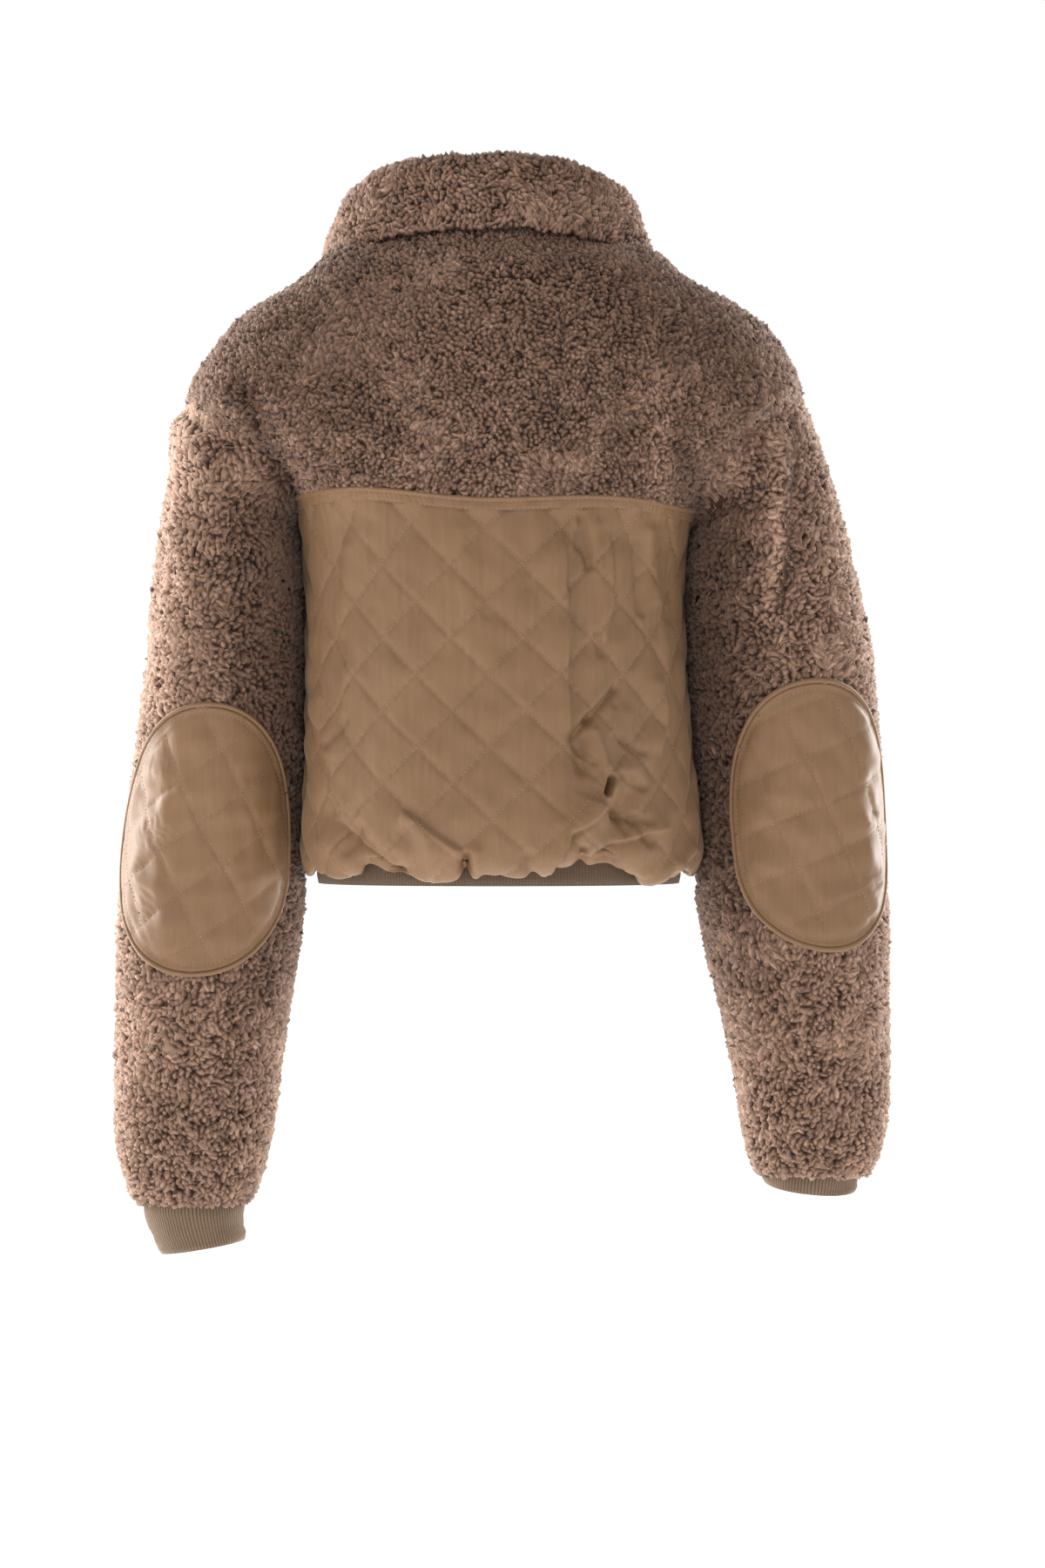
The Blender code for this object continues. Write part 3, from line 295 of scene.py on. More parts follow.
# How far the inner side of a sleeve swells to the body, by how far down it is, in metres
Press = namedtuple("Press", "down swell")
PRESS_DOWN = [0.14, 0.18, 0.22, 0.25, 0.30, 0.36, 0.42, 0.48, 0.58]
LEFT_PRESS = Press(PRESS_DOWN, [0.0, 0.0095, 0.0130, 0.0110, 0.0080, 0.0070, 0.0060, 0.0050, 0.0])
RIGHT_PRESS = Press(PRESS_DOWN, [0.0, 0.0090, 0.0125, 0.0105, 0.0075, 0.0065, 0.0050, 0.0030, 0.0])

# Each sleeve with its cuff and patch. A slant is the degrees, offset and pitch of one family of a
# patch's stitch lines, and the pleats lie at that distance round the sleeve.
Sleeve = namedtuple("Sleeve", "name side rings folds ledges press flat seed cuff cuff_flat "
                              "patch patch_folds patch_ledges pleats slants patch_seed")
LEFT = Sleeve(
    "left", 1, LEFT_RINGS, LEFT_FOLDS, LEFT_LEDGES, LEFT_PRESS, (0.420, 0.600), 101,
    LEFT_CUFF, (0.202, 0.053), LEFT_PATCH, LEFT_PATCH_FOLDS, [], 0.052,
    [(35.0, 0.010, 0.0340), (-60.0, 0.006, 0.0360)], 121)
RIGHT = Sleeve(
    "right", -1, RIGHT_RINGS, RIGHT_FOLDS, RIGHT_LEDGES, RIGHT_PRESS, (0.420, 0.580), 111,
    RIGHT_CUFF, (0.202, 0.048), RIGHT_PATCH, RIGHT_PATCH_FOLDS, RIGHT_PATCH_LEDGES, 0.036,
    [(-22.0, 0.008, 0.0340), (68.0, 0.004, 0.0360)], 131)


# ---------------------------------------------------------------- numbers on smooth curves

def bell(distance, width):
    """1 at no distance, fading smoothly on both sides."""
    return np.exp(-((distance / width) ** 2))


def climb(value, start, reach):
    """0 up to the start, then evenly up to 1 within the reach."""
    return np.clip((value - start) / reach, 0, 1)


def ease(values, where):
    """Read a table's column at fractional row numbers, on a smooth curve through its rows."""
    values = np.asarray(values, dtype=float)
    where = np.asarray(where, dtype=float)
    low = np.clip(np.floor(where).astype(int), 0, len(values) - 2)
    before = values[np.maximum(low - 1, 0)]
    after = values[np.minimum(low + 2, len(values) - 1)]
    return hermite(before, values[low], values[low + 1], after, where - low)


def hermite(before, start, end, after, part):
    leaving = (end - before) / 2
    arriving = (after - start) / 2
    square = part * part
    cube = square * part
    return (
        (2 * cube - 3 * square + 1) * start
        + (cube - 2 * square + part) * leaving
        + (3 * square - 2 * cube) * end
        + (cube - square) * arriving
    )


def unit(vectors):
    return vectors / np.linalg.norm(vectors, axis=-1, keepdims=True)


def signed_power(values, power):
    return np.sign(values) * np.abs(values) ** power


def reach_along(line):
    """Distance of each point of a line from its first."""
    return np.concatenate([[0], np.cumsum(np.linalg.norm(np.diff(line, axis=0), axis=1))])


def evenly(reach, numbers, count):
    """Numbers at evenly spaced distances along a line."""
    return np.interp(np.linspace(0, reach[-1], count), reach, numbers)


def looped(grid):
    """A grid whose first column is repeated as its last."""
    return np.concatenate([grid, grid[:, :1]], axis=1)


def full_turn(count):
    return np.linspace(0, ROUND, count, endpoint=False)


def folds_at(u, z, rows):
    """Height of a table's soft folds at places u, z, both in metres."""
    height = np.zeros(np.broadcast(u, z).shape)
    for fold in rows:
        across = fold.u1 - fold.u0
        up = fold.z1 - fold.z0
        along = ((u - fold.u0) * across + (z - fold.z0) * up) / (across ** 2 + up ** 2)
        along = np.clip(along, 0, 1)
        away = np.hypot(u - fold.u0 - along * across, z - fold.z0 - along * up)
        height = height + fold.height * bell(away, fold.half_width)
    return height


def ledges_at(across, up, rows):
    """Height of overhanging edges: a long rise up to each, then a short drop and a slight hollow."""
    total = np.zeros(across.shape)
    for ledge in rows:
        ways = np.diff(ledge.points, axis=0)
        lengths = np.linalg.norm(ways, axis=1)
        reach = reach_along(ledge.points)
        nearest = np.full(across.shape, 9.0)
        side = np.zeros(across.shape)
        share = np.zeros(across.shape)
        for start, way, length, done in zip(ledge.points, ways, lengths, reach):
            dx, dz = across - start[0], up - start[1]
            part = np.clip((dx * way[0] + dz * way[1]) / length ** 2, 0, 1)
            dx, dz = dx - part * way[0], dz - part * way[1]
            away = np.hypot(dx, dz)
            closer = away < nearest
            nearest = np.where(closer, away, nearest)
            side = np.where(closer, way[0] * dz - way[1] * dx, side)
            share = np.where(closer, (done + part * length) / reach[-1], share)
        fall = 1.3 * bell(nearest, ledge.drop) - 0.3 * bell(nearest, 3 * ledge.drop)
        fade = climb(np.minimum(share, 1 - share), 0, 0.16)
        relief = np.where(side > 0, bell(nearest, ledge.wide), fall)
        total += ledge.height * relief * fade * fade * (3 - 2 * fade)
    return total


def waves(points, seed, count, longest, shortest):
    """Smooth uneven values between about -1 and 1 over places, from sine waves of many lengths."""
    chance = np.random.default_rng(seed)
    total = np.zeros(points.shape[:-1])
    for _ in range(count):
        way = chance.normal(size=3)
        way /= np.linalg.norm(way)
        length = shortest * (longest / shortest) ** chance.random()
        phase = chance.random() * ROUND
        total += np.sin(points @ way * (ROUND / length) + phase)
    return total / math.sqrt(count / 2)


# ---------------------------------------------------------------- the body's surface

def body_point(row, angle):
    """The body's outer surface, without its folds, at row numbers and angles."""
    row, angle = np.broadcast_arrays(np.asarray(row, float), np.asarray(angle, float))
    z, rise, drop, width, back, front, square, shift = (ease(column, row) for column in zip(*BODY))
    across = signed_power(np.cos(angle), 2 / square)
    deep = signed_power(np.sin(angle), 2 / square)
    x = shift + width * across
    y = np.where(deep >= 0, back, front) * deep
    z = z + (rise + drop) / 2 * deep + (rise - drop) / 2 * deep ** 2
    z = z + yoke_sway(x, z) * np.clip(deep + 0.5, 0, 1)
    z = z + gather_lift(row, angle)
    return np.stack([x, y, z], axis=-1)


def yoke_sway(x, z):
    lift = sum(sway.lift * bell(x - sway.x, sway.half_width) for sway in YOKE_SWAY)
    return lift * bell(z - BODY[ROW_YOKE].z, SWAY_HEIGHT)


def gather_lift(row, angle):
    """How far the gathers pull up the turned hem, most at its lowest line."""
    degrees = np.degrees(angle) % 360
    lift = np.zeros(row.shape)
    for gather in GATHERS:
        away = (degrees - gather.angle + 180) % 360 - 180
        lift = lift + gather.lift * bell(away, gather.half_width)
    return lift * np.clip(row, 0, 1) * np.clip(3.6 - row, 0, 1)


def body_normal(row, angle, step=0.01):
    along = body_point(row + step, angle) - body_point(row - step, angle)
    around = body_point(row, angle + step) - body_point(row, angle - step)
    return unit(np.cross(around, along))


def off_side(points):
    """0 at the side seams and 1 away from them."""
    return climb(np.abs(points[..., 1]), 0, SIDE_FADE)


def body_folds(points, row):
    """Height of the folds at points of the body, none at the turned edge, seams and neck."""
    height = np.where(
        points[..., 1] >= 0,
        folds_at(points[..., 0], points[..., 2], BACK_FOLDS),
        folds_at(points[..., 0], points[..., 2], FRONT_FOLDS),
    )
    return height * off_side(points) * climb(row - ROW_LOW, -0.6, 0.6)


def row_step(row, distance):
    """Row number that lies the given distance up the surface from a row."""
    reach = body_point(row + 0.01, BACK) - body_point(row - 0.01, BACK)
    return row + distance * 0.02 / np.linalg.norm(reach)


def angle_at_side(row, y):
    """Angle from the left side at which a section reaches the depth y."""
    depth = np.where(y >= 0, ease([s.back for s in BODY], row), ease([s.front for s in BODY], row))
    square = ease([s.square for s in BODY], row)
    return np.sign(y) * np.arcsin(np.clip(np.abs(y) / depth, 0, 1) ** (square / 2))


def angle_at_front(row, x):
    """Angle at which a section passes the distance x from the middle of the front, +X side."""
    width = ease([s.width for s in BODY], row)
    square = ease([s.square for s in BODY], row)
    return FRONT + np.arcsin((x / width) ** (square / 2))


# ---------------------------------------------------------------- the armhole

def armhole_turn(row):
    """Turn round the armhole, 0 at its top and half a turn at the armpit, of a body row."""
    part = climb(-row, -ROW_ARM_TOP, ROW_ARM_TOP - ROW_YOKE)
    return np.arccos(1 - 2 * part)


def armhole_point(side, turn):
    """The armhole of the left (side 1) or right (side -1) sleeve, on the body's surface."""
    row = ROW_ARM_TOP - (ROW_ARM_TOP - ROW_YOKE) * (1 - np.cos(turn)) / 2
    angle = angle_at_side(row, ARM_DEPTH * np.sin(turn))
    return body_point(row, angle if side > 0 else math.pi - angle)


def armhole_inward(side, turn):
    """The way from the outer to the inner face on both sides of the armhole's seam."""
    x = -0.75 * np.maximum(np.cos(turn), 0)
    return unit(np.stack([side * x, -np.sin(turn), -0.6 * np.cos(turn)], axis=-1))


def piece_angles(part, rows):
    """Where the back or a front of the body starts and ends: armholes, side seams and the zip."""
    depth = np.maximum(ARM_DEPTH * np.sin(armhole_turn(rows)), SEAM / 2)
    if part == "back":
        side = angle_at_side(rows, depth)
        return side, math.pi - side
    middle, side = angle_at_front(rows, ZIP_HALF_GAP), angle_at_side(rows, -depth)
    return (middle, side) if part == "left" else (-math.pi - side, -math.pi - middle)


# ---------------------------------------------------------------- a sleeve's surface

def sleeve_point(sleeve, place, turn):
    """A sleeve's surface. Place 0 is the armhole, and place n the nth ring below it."""
    place, turn = np.broadcast_arrays(np.asarray(place, float), np.asarray(turn, float))
    controls = [armhole_point(sleeve.side, turn)]
    for ring in sleeve.rings:
        across = signed_power(np.cos(turn), 2 / ring.square)
        deep = signed_power(np.sin(turn), 2 / ring.square)
        x = (ring.outer + ring.inner) / 2 + (ring.outer - ring.inner) / 2 * across
        z = ring.z + ring.tilt / 2 * across
        controls.append(np.stack([sleeve.side * x, ring.middle + ring.depth * deep, z], axis=-1))
    controls = np.array(controls)
    low = np.clip(np.floor(place).astype(int), 0, len(controls) - 2)

    def control(index):
        chosen = np.clip(index, 0, len(controls) - 1)[None, ..., None]
        return np.take_along_axis(controls, chosen, axis=0)[0]

    part = (place - low)[..., None]
    return hermite(control(low - 1), control(low), control(low + 1), control(low + 2), part)


def sleeve_normal(sleeve, place, turn, step=0.01):
    below = sleeve_point(sleeve, place + step, turn)
    above = sleeve_point(sleeve, place - step, turn)
    after = sleeve_point(sleeve, place, turn + step)
    before = sleeve_point(sleeve, place, turn - step)
    return sleeve.side * unit(np.cross(below - above, after - before))


def sleeve_folds(sleeve, points, place, turn):
    """Height of a sleeve's folds, fading at the armhole and at the turned-in end."""
    degrees = np.degrees(turn) % 360
    scale = math.radians(1) * SLEEVE_RADIUS
    scaled = [fold._replace(u0=fold.u0 * scale, u1=fold.u1 * scale) for fold in sleeve.folds]
    height = folds_at(degrees * scale, points[..., 2], scaled)
    return height * climb(place, 0.3, 1) * np.clip(11.5 - place, 0, 1)


def on_sleeve(sleeve, place, turn, lift):
    base = sleeve_point(sleeve, place, turn)
    normal = sleeve_normal(sleeve, place, turn)
    return base + normal * (sleeve_folds(sleeve, base, place, turn)[..., None] + lift)


def patch_place(sleeve, reach, bearing):
    """Places and turns on a sleeve at a bearing from its patch's middle; reach 1 is the edge."""
    patch = sleeve.patch
    z = patch.z + patch.half_height * reach * np.sin(bearing)
    turn = math.radians(patch.turn) - patch.half_width / SLEEVE_RADIUS * reach * np.cos(bearing)
    heights = [-ring.z for ring in sleeve.rings[3:9]]
    return 4 + np.interp(-z, heights, np.arange(6)), turn


def from_patch(sleeve, turn, z):
    """Distance from the middle of a sleeve's patch, 1 at its edge."""
    patch = sleeve.patch
    sideways = (turn - math.radians(patch.turn)) * SLEEVE_RADIUS / patch.half_width
    return np.hypot(sideways, (z - patch.z) / patch.half_height)


def zip_line():
    """Heights and depths of the tapes' outer face, behind the front panels and the band."""
    rows = np.linspace(5.0, ROW_NECK - 0.15, 12)
    line = body_point(rows, np.full(rows.shape, FRONT))
    line = line - body_normal(rows, np.full(rows.shape, FRONT)) * (WALL + 3 * SEAM)
    band = BODY[ROW_EDGE]
    behind = -band.front + RIB_WALL + 4 * SEAM
    heights = [band.z - BAND_HEIGHT, band.z, band.z + 0.016, *line[:, 2]]
    depths = [behind, behind + WALL + SEAM, behind, *line[:, 1]]
    return heights, depths


# ---------------------------------------------------------------- materials

class Nodes:
    """The nodes of a material or of the world, and the links between them."""

    def __init__(self, tree):
        self.nodes = tree.nodes
        self.links = tree.links

    def plug(self, socket, value):
        """Feed a socket from another one, or with a plain value."""
        if isinstance(value, bpy.types.NodeSocket):
            self.links.new(value, socket)
        else:
            socket.default_value = value

    def node(self, kind, **inputs):
        made = self.nodes.new(kind)
        for name, value in inputs.items():
            self.plug(made.inputs[name], value)
        return made

    def ramp(self, source, *stops):
        """Colours by a value. A stop is its place and a colour, or one number for a grey."""
        made = self.node("ShaderNodeValToRGB", Fac=source)
        elements = made.color_ramp.elements
        while len(elements) < len(stops):
            elements.new(0.5)
        for element, (place, colour) in zip(elements, stops):
            element.position = place
            element.color = (*colour, 1.0) if isinstance(colour, tuple) else (colour, colour, colour, 1.0)
        return made.outputs["Color"]


class Look(Nodes):
    """A material with its slot in the part, made of procedural textures."""

    def __init__(self, name, slot=None):
        self.slot = slot
        self.made = bpy.data.materials.new(name)
        self.made.use_nodes = True
        super().__init__(self.made.node_tree)
        self.shader = self.nodes["Principled BSDF"]

    def set(self, colour, roughness, specular=None, sheen=(None, None, None)):
        """The shader's inputs. Sheen is its weight, its roughness and its tint."""
        names = ("Base Color", "Roughness", "Specular IOR Level",
                 "Sheen Weight", "Sheen Roughness", "Sheen Tint")
        for name, value in zip(names, (colour, roughness, specular, *sheen)):
            if value is not None:
                self.plug(self.shader.inputs[name], value)

    def texture(self, scale, detail=2.0, stretch=(1, 1, 1), kind="ShaderNodeTexNoise", place=None):
        """A procedural texture, over the object's own coordinates in metres unless told where."""
        place = place or self.node("ShaderNodeTexCoord").outputs["Object"]
        mapping = self.node("ShaderNodeMapping", Vector=place, Scale=stretch)
        return self.node(kind, Vector=mapping.outputs[0], Scale=scale, Detail=detail).outputs[0]

    def multiply(self, first, second):
        made = self.node("ShaderNodeMix")
        made.data_type = "RGBA"
        made.blend_type = "MULTIPLY"
        for socket, value in ((0, 1.0), (6, first), (7, second)):
            self.plug(made.inputs[socket], value)
        return made.outputs[2]

    def channel(self, name, channel):
        """One channel of a colour that is stored on the points of a mesh."""
        read = self.node("ShaderNodeAttribute")
        read.attribute_name = name
        return self.node("ShaderNodeSeparateColor", Color=read.outputs["Color"]).outputs[channel]

    def bump(self, *layers):
        """Bump layers in a chain, each a height, a strength and a distance."""
        chain = {}
        for height, strength, distance in layers:
            made = self.node("ShaderNodeBump", Height=height, Strength=strength, Distance=distance, **chain)
            chain = {"Normal": made.outputs["Normal"]}
        self.plug(self.shader.inputs["Normal"], chain["Normal"])


def pile_look():
    """Curls of the fleece: dark at the root as painted shade between the curls, lighter at the tip, each
    curl a little different.
    """
    look = Look("sherpa_pile", "fleece")
    tip, each, across = (look.channel("pile", name) for name in ("Red", "Green", "Blue"))
    # The red channel darkens the roots as painted shade between the curls; the green channel is each curl's
    # lightness with its painted light and shade.
    colour = look.ramp(tip, (0.0, (0.030, 0.015, 0.010)), (0.26, (0.066, 0.035, 0.024)),
                       (0.50, (0.160, 0.093, 0.064)), (1.0, (0.285, 0.176, 0.128)))
    varied = look.ramp(each, (0.0, (0.60, 0.58, 0.57)), (0.4, 1.0), (1.0, (1.75, 1.85, 1.90)))
    broad = look.ramp(look.texture(13.0, 3.0), (0.32, (0.93, 0.92, 0.91)), (0.68, (1.07, 1.07, 1.06)))
    curl = look.node("ShaderNodeCombineXYZ", X=across, Y=each)
    strands = look.texture(1.0, 1.0, (4.6, 90.0, 1.0), place=curl.outputs[0])
    # Lighter strands: fibre texture, partly a painted highlight on the fibres.
    strands_and_glints = look.ramp(strands, (0.32, (0.66, 0.64, 0.62)), (0.68, (1.38, 1.38, 1.37)))
    for shade in (varied, broad, strands_and_glints):
        colour = look.multiply(colour, shade)
    look.set(colour, 0.93, 0.20, (0.24, 0.45, (1.0, 0.89, 0.80, 1.0)))
    look.bump((strands, 0.6, 0.0006), (look.texture(1500.0), 0.40, 0.0005))
    return look


def backing_look():
    """Knitted backing under the curls and inside the jacket, painted dark as the shade in the gaps between
    the curls.
    """
    look = Look("fleece_backing", "fleece")
    knit = look.texture(620.0, stretch=(1, 1, 0.7), kind="ShaderNodeTexVoronoi")
    colour = look.ramp(knit, (0.0, (0.085, 0.047, 0.033)), (0.7, (0.045, 0.024, 0.017)))
    look.set(colour, 0.95, 0.2)
    look.bump((knit, 0.6, 0.0008))
    return look


def satin_look():
    """Khaki-brown satin: fine warp streaks, soft sheen, small shifts of colour."""
    look = Look("quilted_satin", "quilted_satin")
    streaks = look.texture(420.0, 3.0, (1, 1, 0.06))
    colour = look.ramp(streaks, (0.25, (0.198, 0.110, 0.055)), (0.75, (0.230, 0.129, 0.065)))
    shift = look.ramp(look.texture(14.0, 3.0), (0.3, (0.93, 0.92, 0.91)), (0.7, 1.05))
    rough = look.ramp(streaks, (0.2, 0.50), (0.8, 0.62))
    look.set(look.multiply(colour, shift), rough, 0.30, (0.14, 0.35, (1.0, 0.88, 0.72, 1.0)))
    look.bump((streaks, 0.10, 0.0008), (look.texture(1900.0, 1.0, (1, 1, 0.5)), 0.18, 0.0003))
    return look


def rib_look():
    """Rib knit, painted dark between its ribs as painted shade."""
    look = Look("rib_knit", "rib_knit")
    knots = look.texture(1500.0, 1.0, (1, 1, 0.6))
    colour = look.ramp(look.channel("rib", "Red"), (0.0, (0.066, 0.043, 0.027)),
                       (0.6, (0.165, 0.109, 0.070)), (1.0, (0.205, 0.138, 0.091)))
    colour = look.multiply(colour, look.ramp(knots, (0.3, 0.86), (0.7, 1.1)))
    look.set(colour, 0.88, 0.25, (0.3, 0.4, (0.95, 0.86, 0.76, 1.0)))
    look.bump((knots, 0.5, 0.0005))
    return look


def thread_look():
    look = Look("stitch_thread", "quilted_satin")
    twist = look.texture(2500.0, 1.0)
    look.set(look.ramp(twist, (0.3, (0.300, 0.190, 0.118)), (0.7, (0.390, 0.262, 0.172))), 0.55)
    return look


def tape_look():
    look = Look("zip_tape", "zip_tape")
    weave = look.texture(1300.0, stretch=(1, 1, 0.4))
    colour = look.ramp(weave, (0.3, (0.110, 0.068, 0.046)), (0.7, (0.175, 0.112, 0.078)))
    look.set(colour, 0.82, sheen=(0.15, 0.4, (0.9, 0.8, 0.7, 1.0)))
    look.bump((weave, 0.35, 0.0004))
    return look


def metal_look():
    look = Look("antique_brass", "zip_metal")
    grain = look.texture(900.0, 3.0, (1, 1, 0.15))
    wear = look.texture(240.0, 3.0)
    colour = look.ramp(wear, (0.3, (0.300, 0.215, 0.120)), (0.7, (0.520, 0.400, 0.240)))
    look.set(colour, look.ramp(grain, (0.2, 0.24), (0.8, 0.42)))
    look.shader.inputs["Metallic"].default_value = 1.0
    look.bump((grain, 0.15, 0.0002))
    return look


PILE = pile_look()
BACKING = backing_look()
SATIN = satin_look()
RIB = rib_look()
THREAD = thread_look()
TAPE = tape_look()
METAL = metal_look()


# ---------------------------------------------------------------- meshes

LINING_STEP = 4              # the lining's grid has one square for this many of the outer side's


def new_piece(name, vertices, faces, look, node=None):
    """A smooth mesh from points and arrays of triangles or squares, in a node's place if named."""
    faces = [np.asarray(group, dtype=np.int32) for group in faces]
    mesh = bpy.data.meshes.new(name)
    mesh.vertices.add(len(vertices))
    mesh.vertices.foreach_set("co", np.asarray(vertices, dtype=np.float32).ravel())
    sizes = np.concatenate([np.full(len(group), group.shape[1]) for group in faces])
    corners = np.concatenate([group.ravel() for group in faces])
    mesh.loops.add(len(corners))
    mesh.loops.foreach_set("vertex_index", corners)
    mesh.polygons.add(len(sizes))
    starts = np.concatenate([[0], np.cumsum(sizes)[:-1]]).astype(np.int32)
    mesh.polygons.foreach_set("loop_start", starts)
    mesh.update(calc_edges=True)
    mesh.validate()
    mesh.shade_smooth()
    mesh.materials.append(look.made)
    piece = bpy.data.objects.new(name, mesh)
    bpy.context.scene.collection.objects.link(piece)
    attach(piece, "jacket")
    if node is not None:
        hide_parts(node)
    return piece


def paint(piece, name, colours):
    layer = piece.data.attributes.new(name, "FLOAT_COLOR", "POINT")
    layer.data.foreach_set("color", np.asarray(colours, dtype=np.float32).ravel())


def squares(rows, columns, around=False, start=0):
    """Corner numbers of a grid's squares."""
    across = columns if around else columns - 1
    row, column = np.meshgrid(np.arange(rows - 1), np.arange(across), indexing="ij")
    a = start + row * columns + column
    b = start + row * columns + (column + 1) % columns
    return np.stack([a, b, b + columns, a + columns], axis=-1).reshape(-1, 4)


def repeated(pattern, count, points):
    """Faces of a small form that is repeated, each time with its own points."""
    pattern = np.array(pattern)
    return (np.arange(count)[:, None, None] * points + pattern[None]).reshape(-1, pattern.shape[1])


def joining(fine, coarse):
    """Triangles between a line of fine points and a line with one point for LINING_STEP of them."""
    triangles = []
    half = LINING_STEP // 2
    for i in range(len(coarse) - 1):
        for j in range(LINING_STEP):
            corner = coarse[i] if j < half else coarse[i + 1]
            at = i * LINING_STEP + j
            triangles.append((fine[at], corner, fine[at + 1]))
        triangles.append((fine[i * LINING_STEP + half], coarse[i], coarse[i + 1]))
    return np.array(triangles)


def shell(node, kind, face, lining, look, tube=False, flip=False):
    """A closed wall for a node: a fine outer grid, a coarse lining, and their joined rims."""
    rows, columns = face.shape[:2]
    inner = lining[::LINING_STEP, ::LINING_STEP]
    inner_rows, inner_columns = inner.shape[:2]
    base = rows * columns
    number = np.arange(base).reshape(rows, columns)
    inside = base + np.arange(inner_rows * inner_columns).reshape(inner_rows, inner_columns)
    if tube:
        number, inside = looped(number), looped(inside)
    rims = [joining(number[0], inside[0]), joining(number[-1], inside[-1])[:, ::-1]]
    if not tube:
        rims += [joining(number[:, 0], inside[:, 0])[:, ::-1], joining(number[:, -1], inside[:, -1])]
    inner_squares = squares(inner_rows, inner_columns, tube, base)[:, ::-1]
    faces = [squares(rows, columns, tube), inner_squares, np.concatenate(rims)]
    if flip:
        faces = [group[:, ::-1] for group in faces]
    points = np.concatenate([face.reshape(-1, 3), inner.reshape(-1, 3)])
    return new_piece(f"{node}_{kind}", points, faces, look, node)


def grid_normal(face):
    """Normals of a grid of points, turning the way its rows cross its columns."""
    return unit(np.cross(np.gradient(face, axis=1), np.gradient(face, axis=0)))


def at_grid(values, row, column, up, across):
    """Values of a grid at shares of its squares."""
    up, across = up[:, None], across[:, None]
    low = values[row, column] * (1 - across) + values[row, column + 1] * across
    high = values[row + 1, column] * (1 - across) + values[row + 1, column + 1] * across
    return low * (1 - up) + high * up


def grid_read(values, row, column):
    """Values of a grid at fractional rows and columns."""
    low_row = np.clip(np.floor(row).astype(int), 0, values.shape[0] - 2)
    low_column = np.clip(np.floor(column).astype(int), 0, values.shape[1] - 2)
    return at_grid(values, low_row, low_column, row - low_row, column - low_column)


# ---------------------------------------------------------------- quilting and stitches

QUILT_WIDTH = 0.0494         # one diamond, across
QUILT_HEIGHT = 0.0497        # and from top to bottom
QUILT_ACROSS = 0.0547        # one crossing of the back panel's stitch lines
QUILT_UP = -0.3031
QUILT_PUFF = 0.0021          # how far the padding stands off its stitch lines
QUILT_SOFT = 0.0070          # how wide the rounded edge of a diamond is
QUILT_VALLEY = 0.0017        # half the width of the valley along the thread
QUILT_DEPTH = 0.0007         # and its depth
PUCKER_WIDTH = 0.0055        # small puckers beside the thread, and their height
PUCKER_HEIGHT = 0.00016
STITCH_LENGTH = 0.0022
STITCH_PITCH = 0.0031
STITCH_RADIUS = 0.00040
STITCH_SINK = 0.00005        # how far the panels' stitches sink into the cloth


def quilt_lines(across, up):
    """Numbers of the two families of stitch lines at flat places on a panel."""
    across = (across - QUILT_ACROSS) / QUILT_WIDTH
    up = (up - QUILT_UP) / QUILT_HEIGHT
    return across + up, across - up


def quilt_relief(a, b):
    """Height of the padded diamonds: pillows that meet in narrow valleys, puckered at the thread."""
    steep = math.hypot(1 / QUILT_WIDTH, 1 / QUILT_HEIGHT)
    height = np.ones(a.shape)
    valley = np.zeros(a.shape)
    pucker = np.zeros(a.shape)
    for line, other in ((a, b), (b, a)):
        away = np.abs(line - np.round(line)) / steep
        height = height * (1 - np.exp(-((away / QUILT_SOFT) ** 1.15)))
        valley = np.maximum(valley, bell(away, QUILT_VALLEY))
        ripple = np.sin(other * ROUND * 6.3 + np.round(line) * 1.7 + 0.8 * np.sin(other * 9.1))
        pucker = pucker + ripple * bell(away, PUCKER_WIDTH)
    return QUILT_PUFF * height - QUILT_DEPTH * valley + PUCKER_HEIGHT * pucker


def along_line(line, number):
    low = np.clip(np.floor(number).astype(int), 0, len(line) - 2)
    part = (number - low)[:, None]
    return line[low] * (1 - part) + line[low + 1] * part


def stitches_on(line, normals, shown=None, sink=0.0):
    """Starts, ends and outward ways of the stitches along a finely sampled line of points."""
    reach = reach_along(line)
    first = np.arange(STITCH_PITCH * 0.3, reach[-1] - STITCH_LENGTH, STITCH_PITCH)
    number = np.arange(len(line))
    begin = np.interp(first, reach, number)
    finish = np.interp(first + STITCH_LENGTH, reach, number)
    if shown is not None:
        kept = np.interp(begin, number, shown) > 0.5
        begin, finish = begin[kept], finish[kept]
    lift = along_line(normals, (begin + finish) / 2)
    return along_line(line, begin) - lift * sink, along_line(line, finish) - lift * sink, unit(lift)


def level_lines(a, b):
    """Every stitch line of both families: fractional rows and columns, one for each row it meets."""
    for values in (a, b):
        for level in range(math.floor(values.min()) + 1, math.floor(values.max()) + 1):
            left, right = values[:, :-1] - level, values[:, 1:] - level
            row, column = np.nonzero((left * right) < 0)
            part = left[row, column] / (left[row, column] - right[row, column])
            yield row.astype(float), column + part


def stitch_mesh(name, groups):
    """Short stitches, each a sliver with a four-sided waist from its start to its end."""
    starts, ends, normals = (np.concatenate(part) for part in zip(*groups))
    side = unit(np.cross(normals, unit(ends - starts)))
    middle = (starts + ends) / 2
    ring = [
        middle + side * STITCH_RADIUS,
        middle + normals * STITCH_RADIUS * 1.1,
        middle - side * STITCH_RADIUS,
        middle - normals * STITCH_RADIUS * 0.8,
    ]
    points = np.stack([starts, *ring, ends], axis=1)
    pattern = []
    for i in range(4):
        j = (i + 1) % 4
        pattern += [(0, 1 + j, 1 + i), (5, 1 + i, 1 + j)]
    return new_piece(name, points.reshape(-1, 3), [repeated(pattern, len(starts), 6)], THREAD)


# ---------------------------------------------------------------- pile

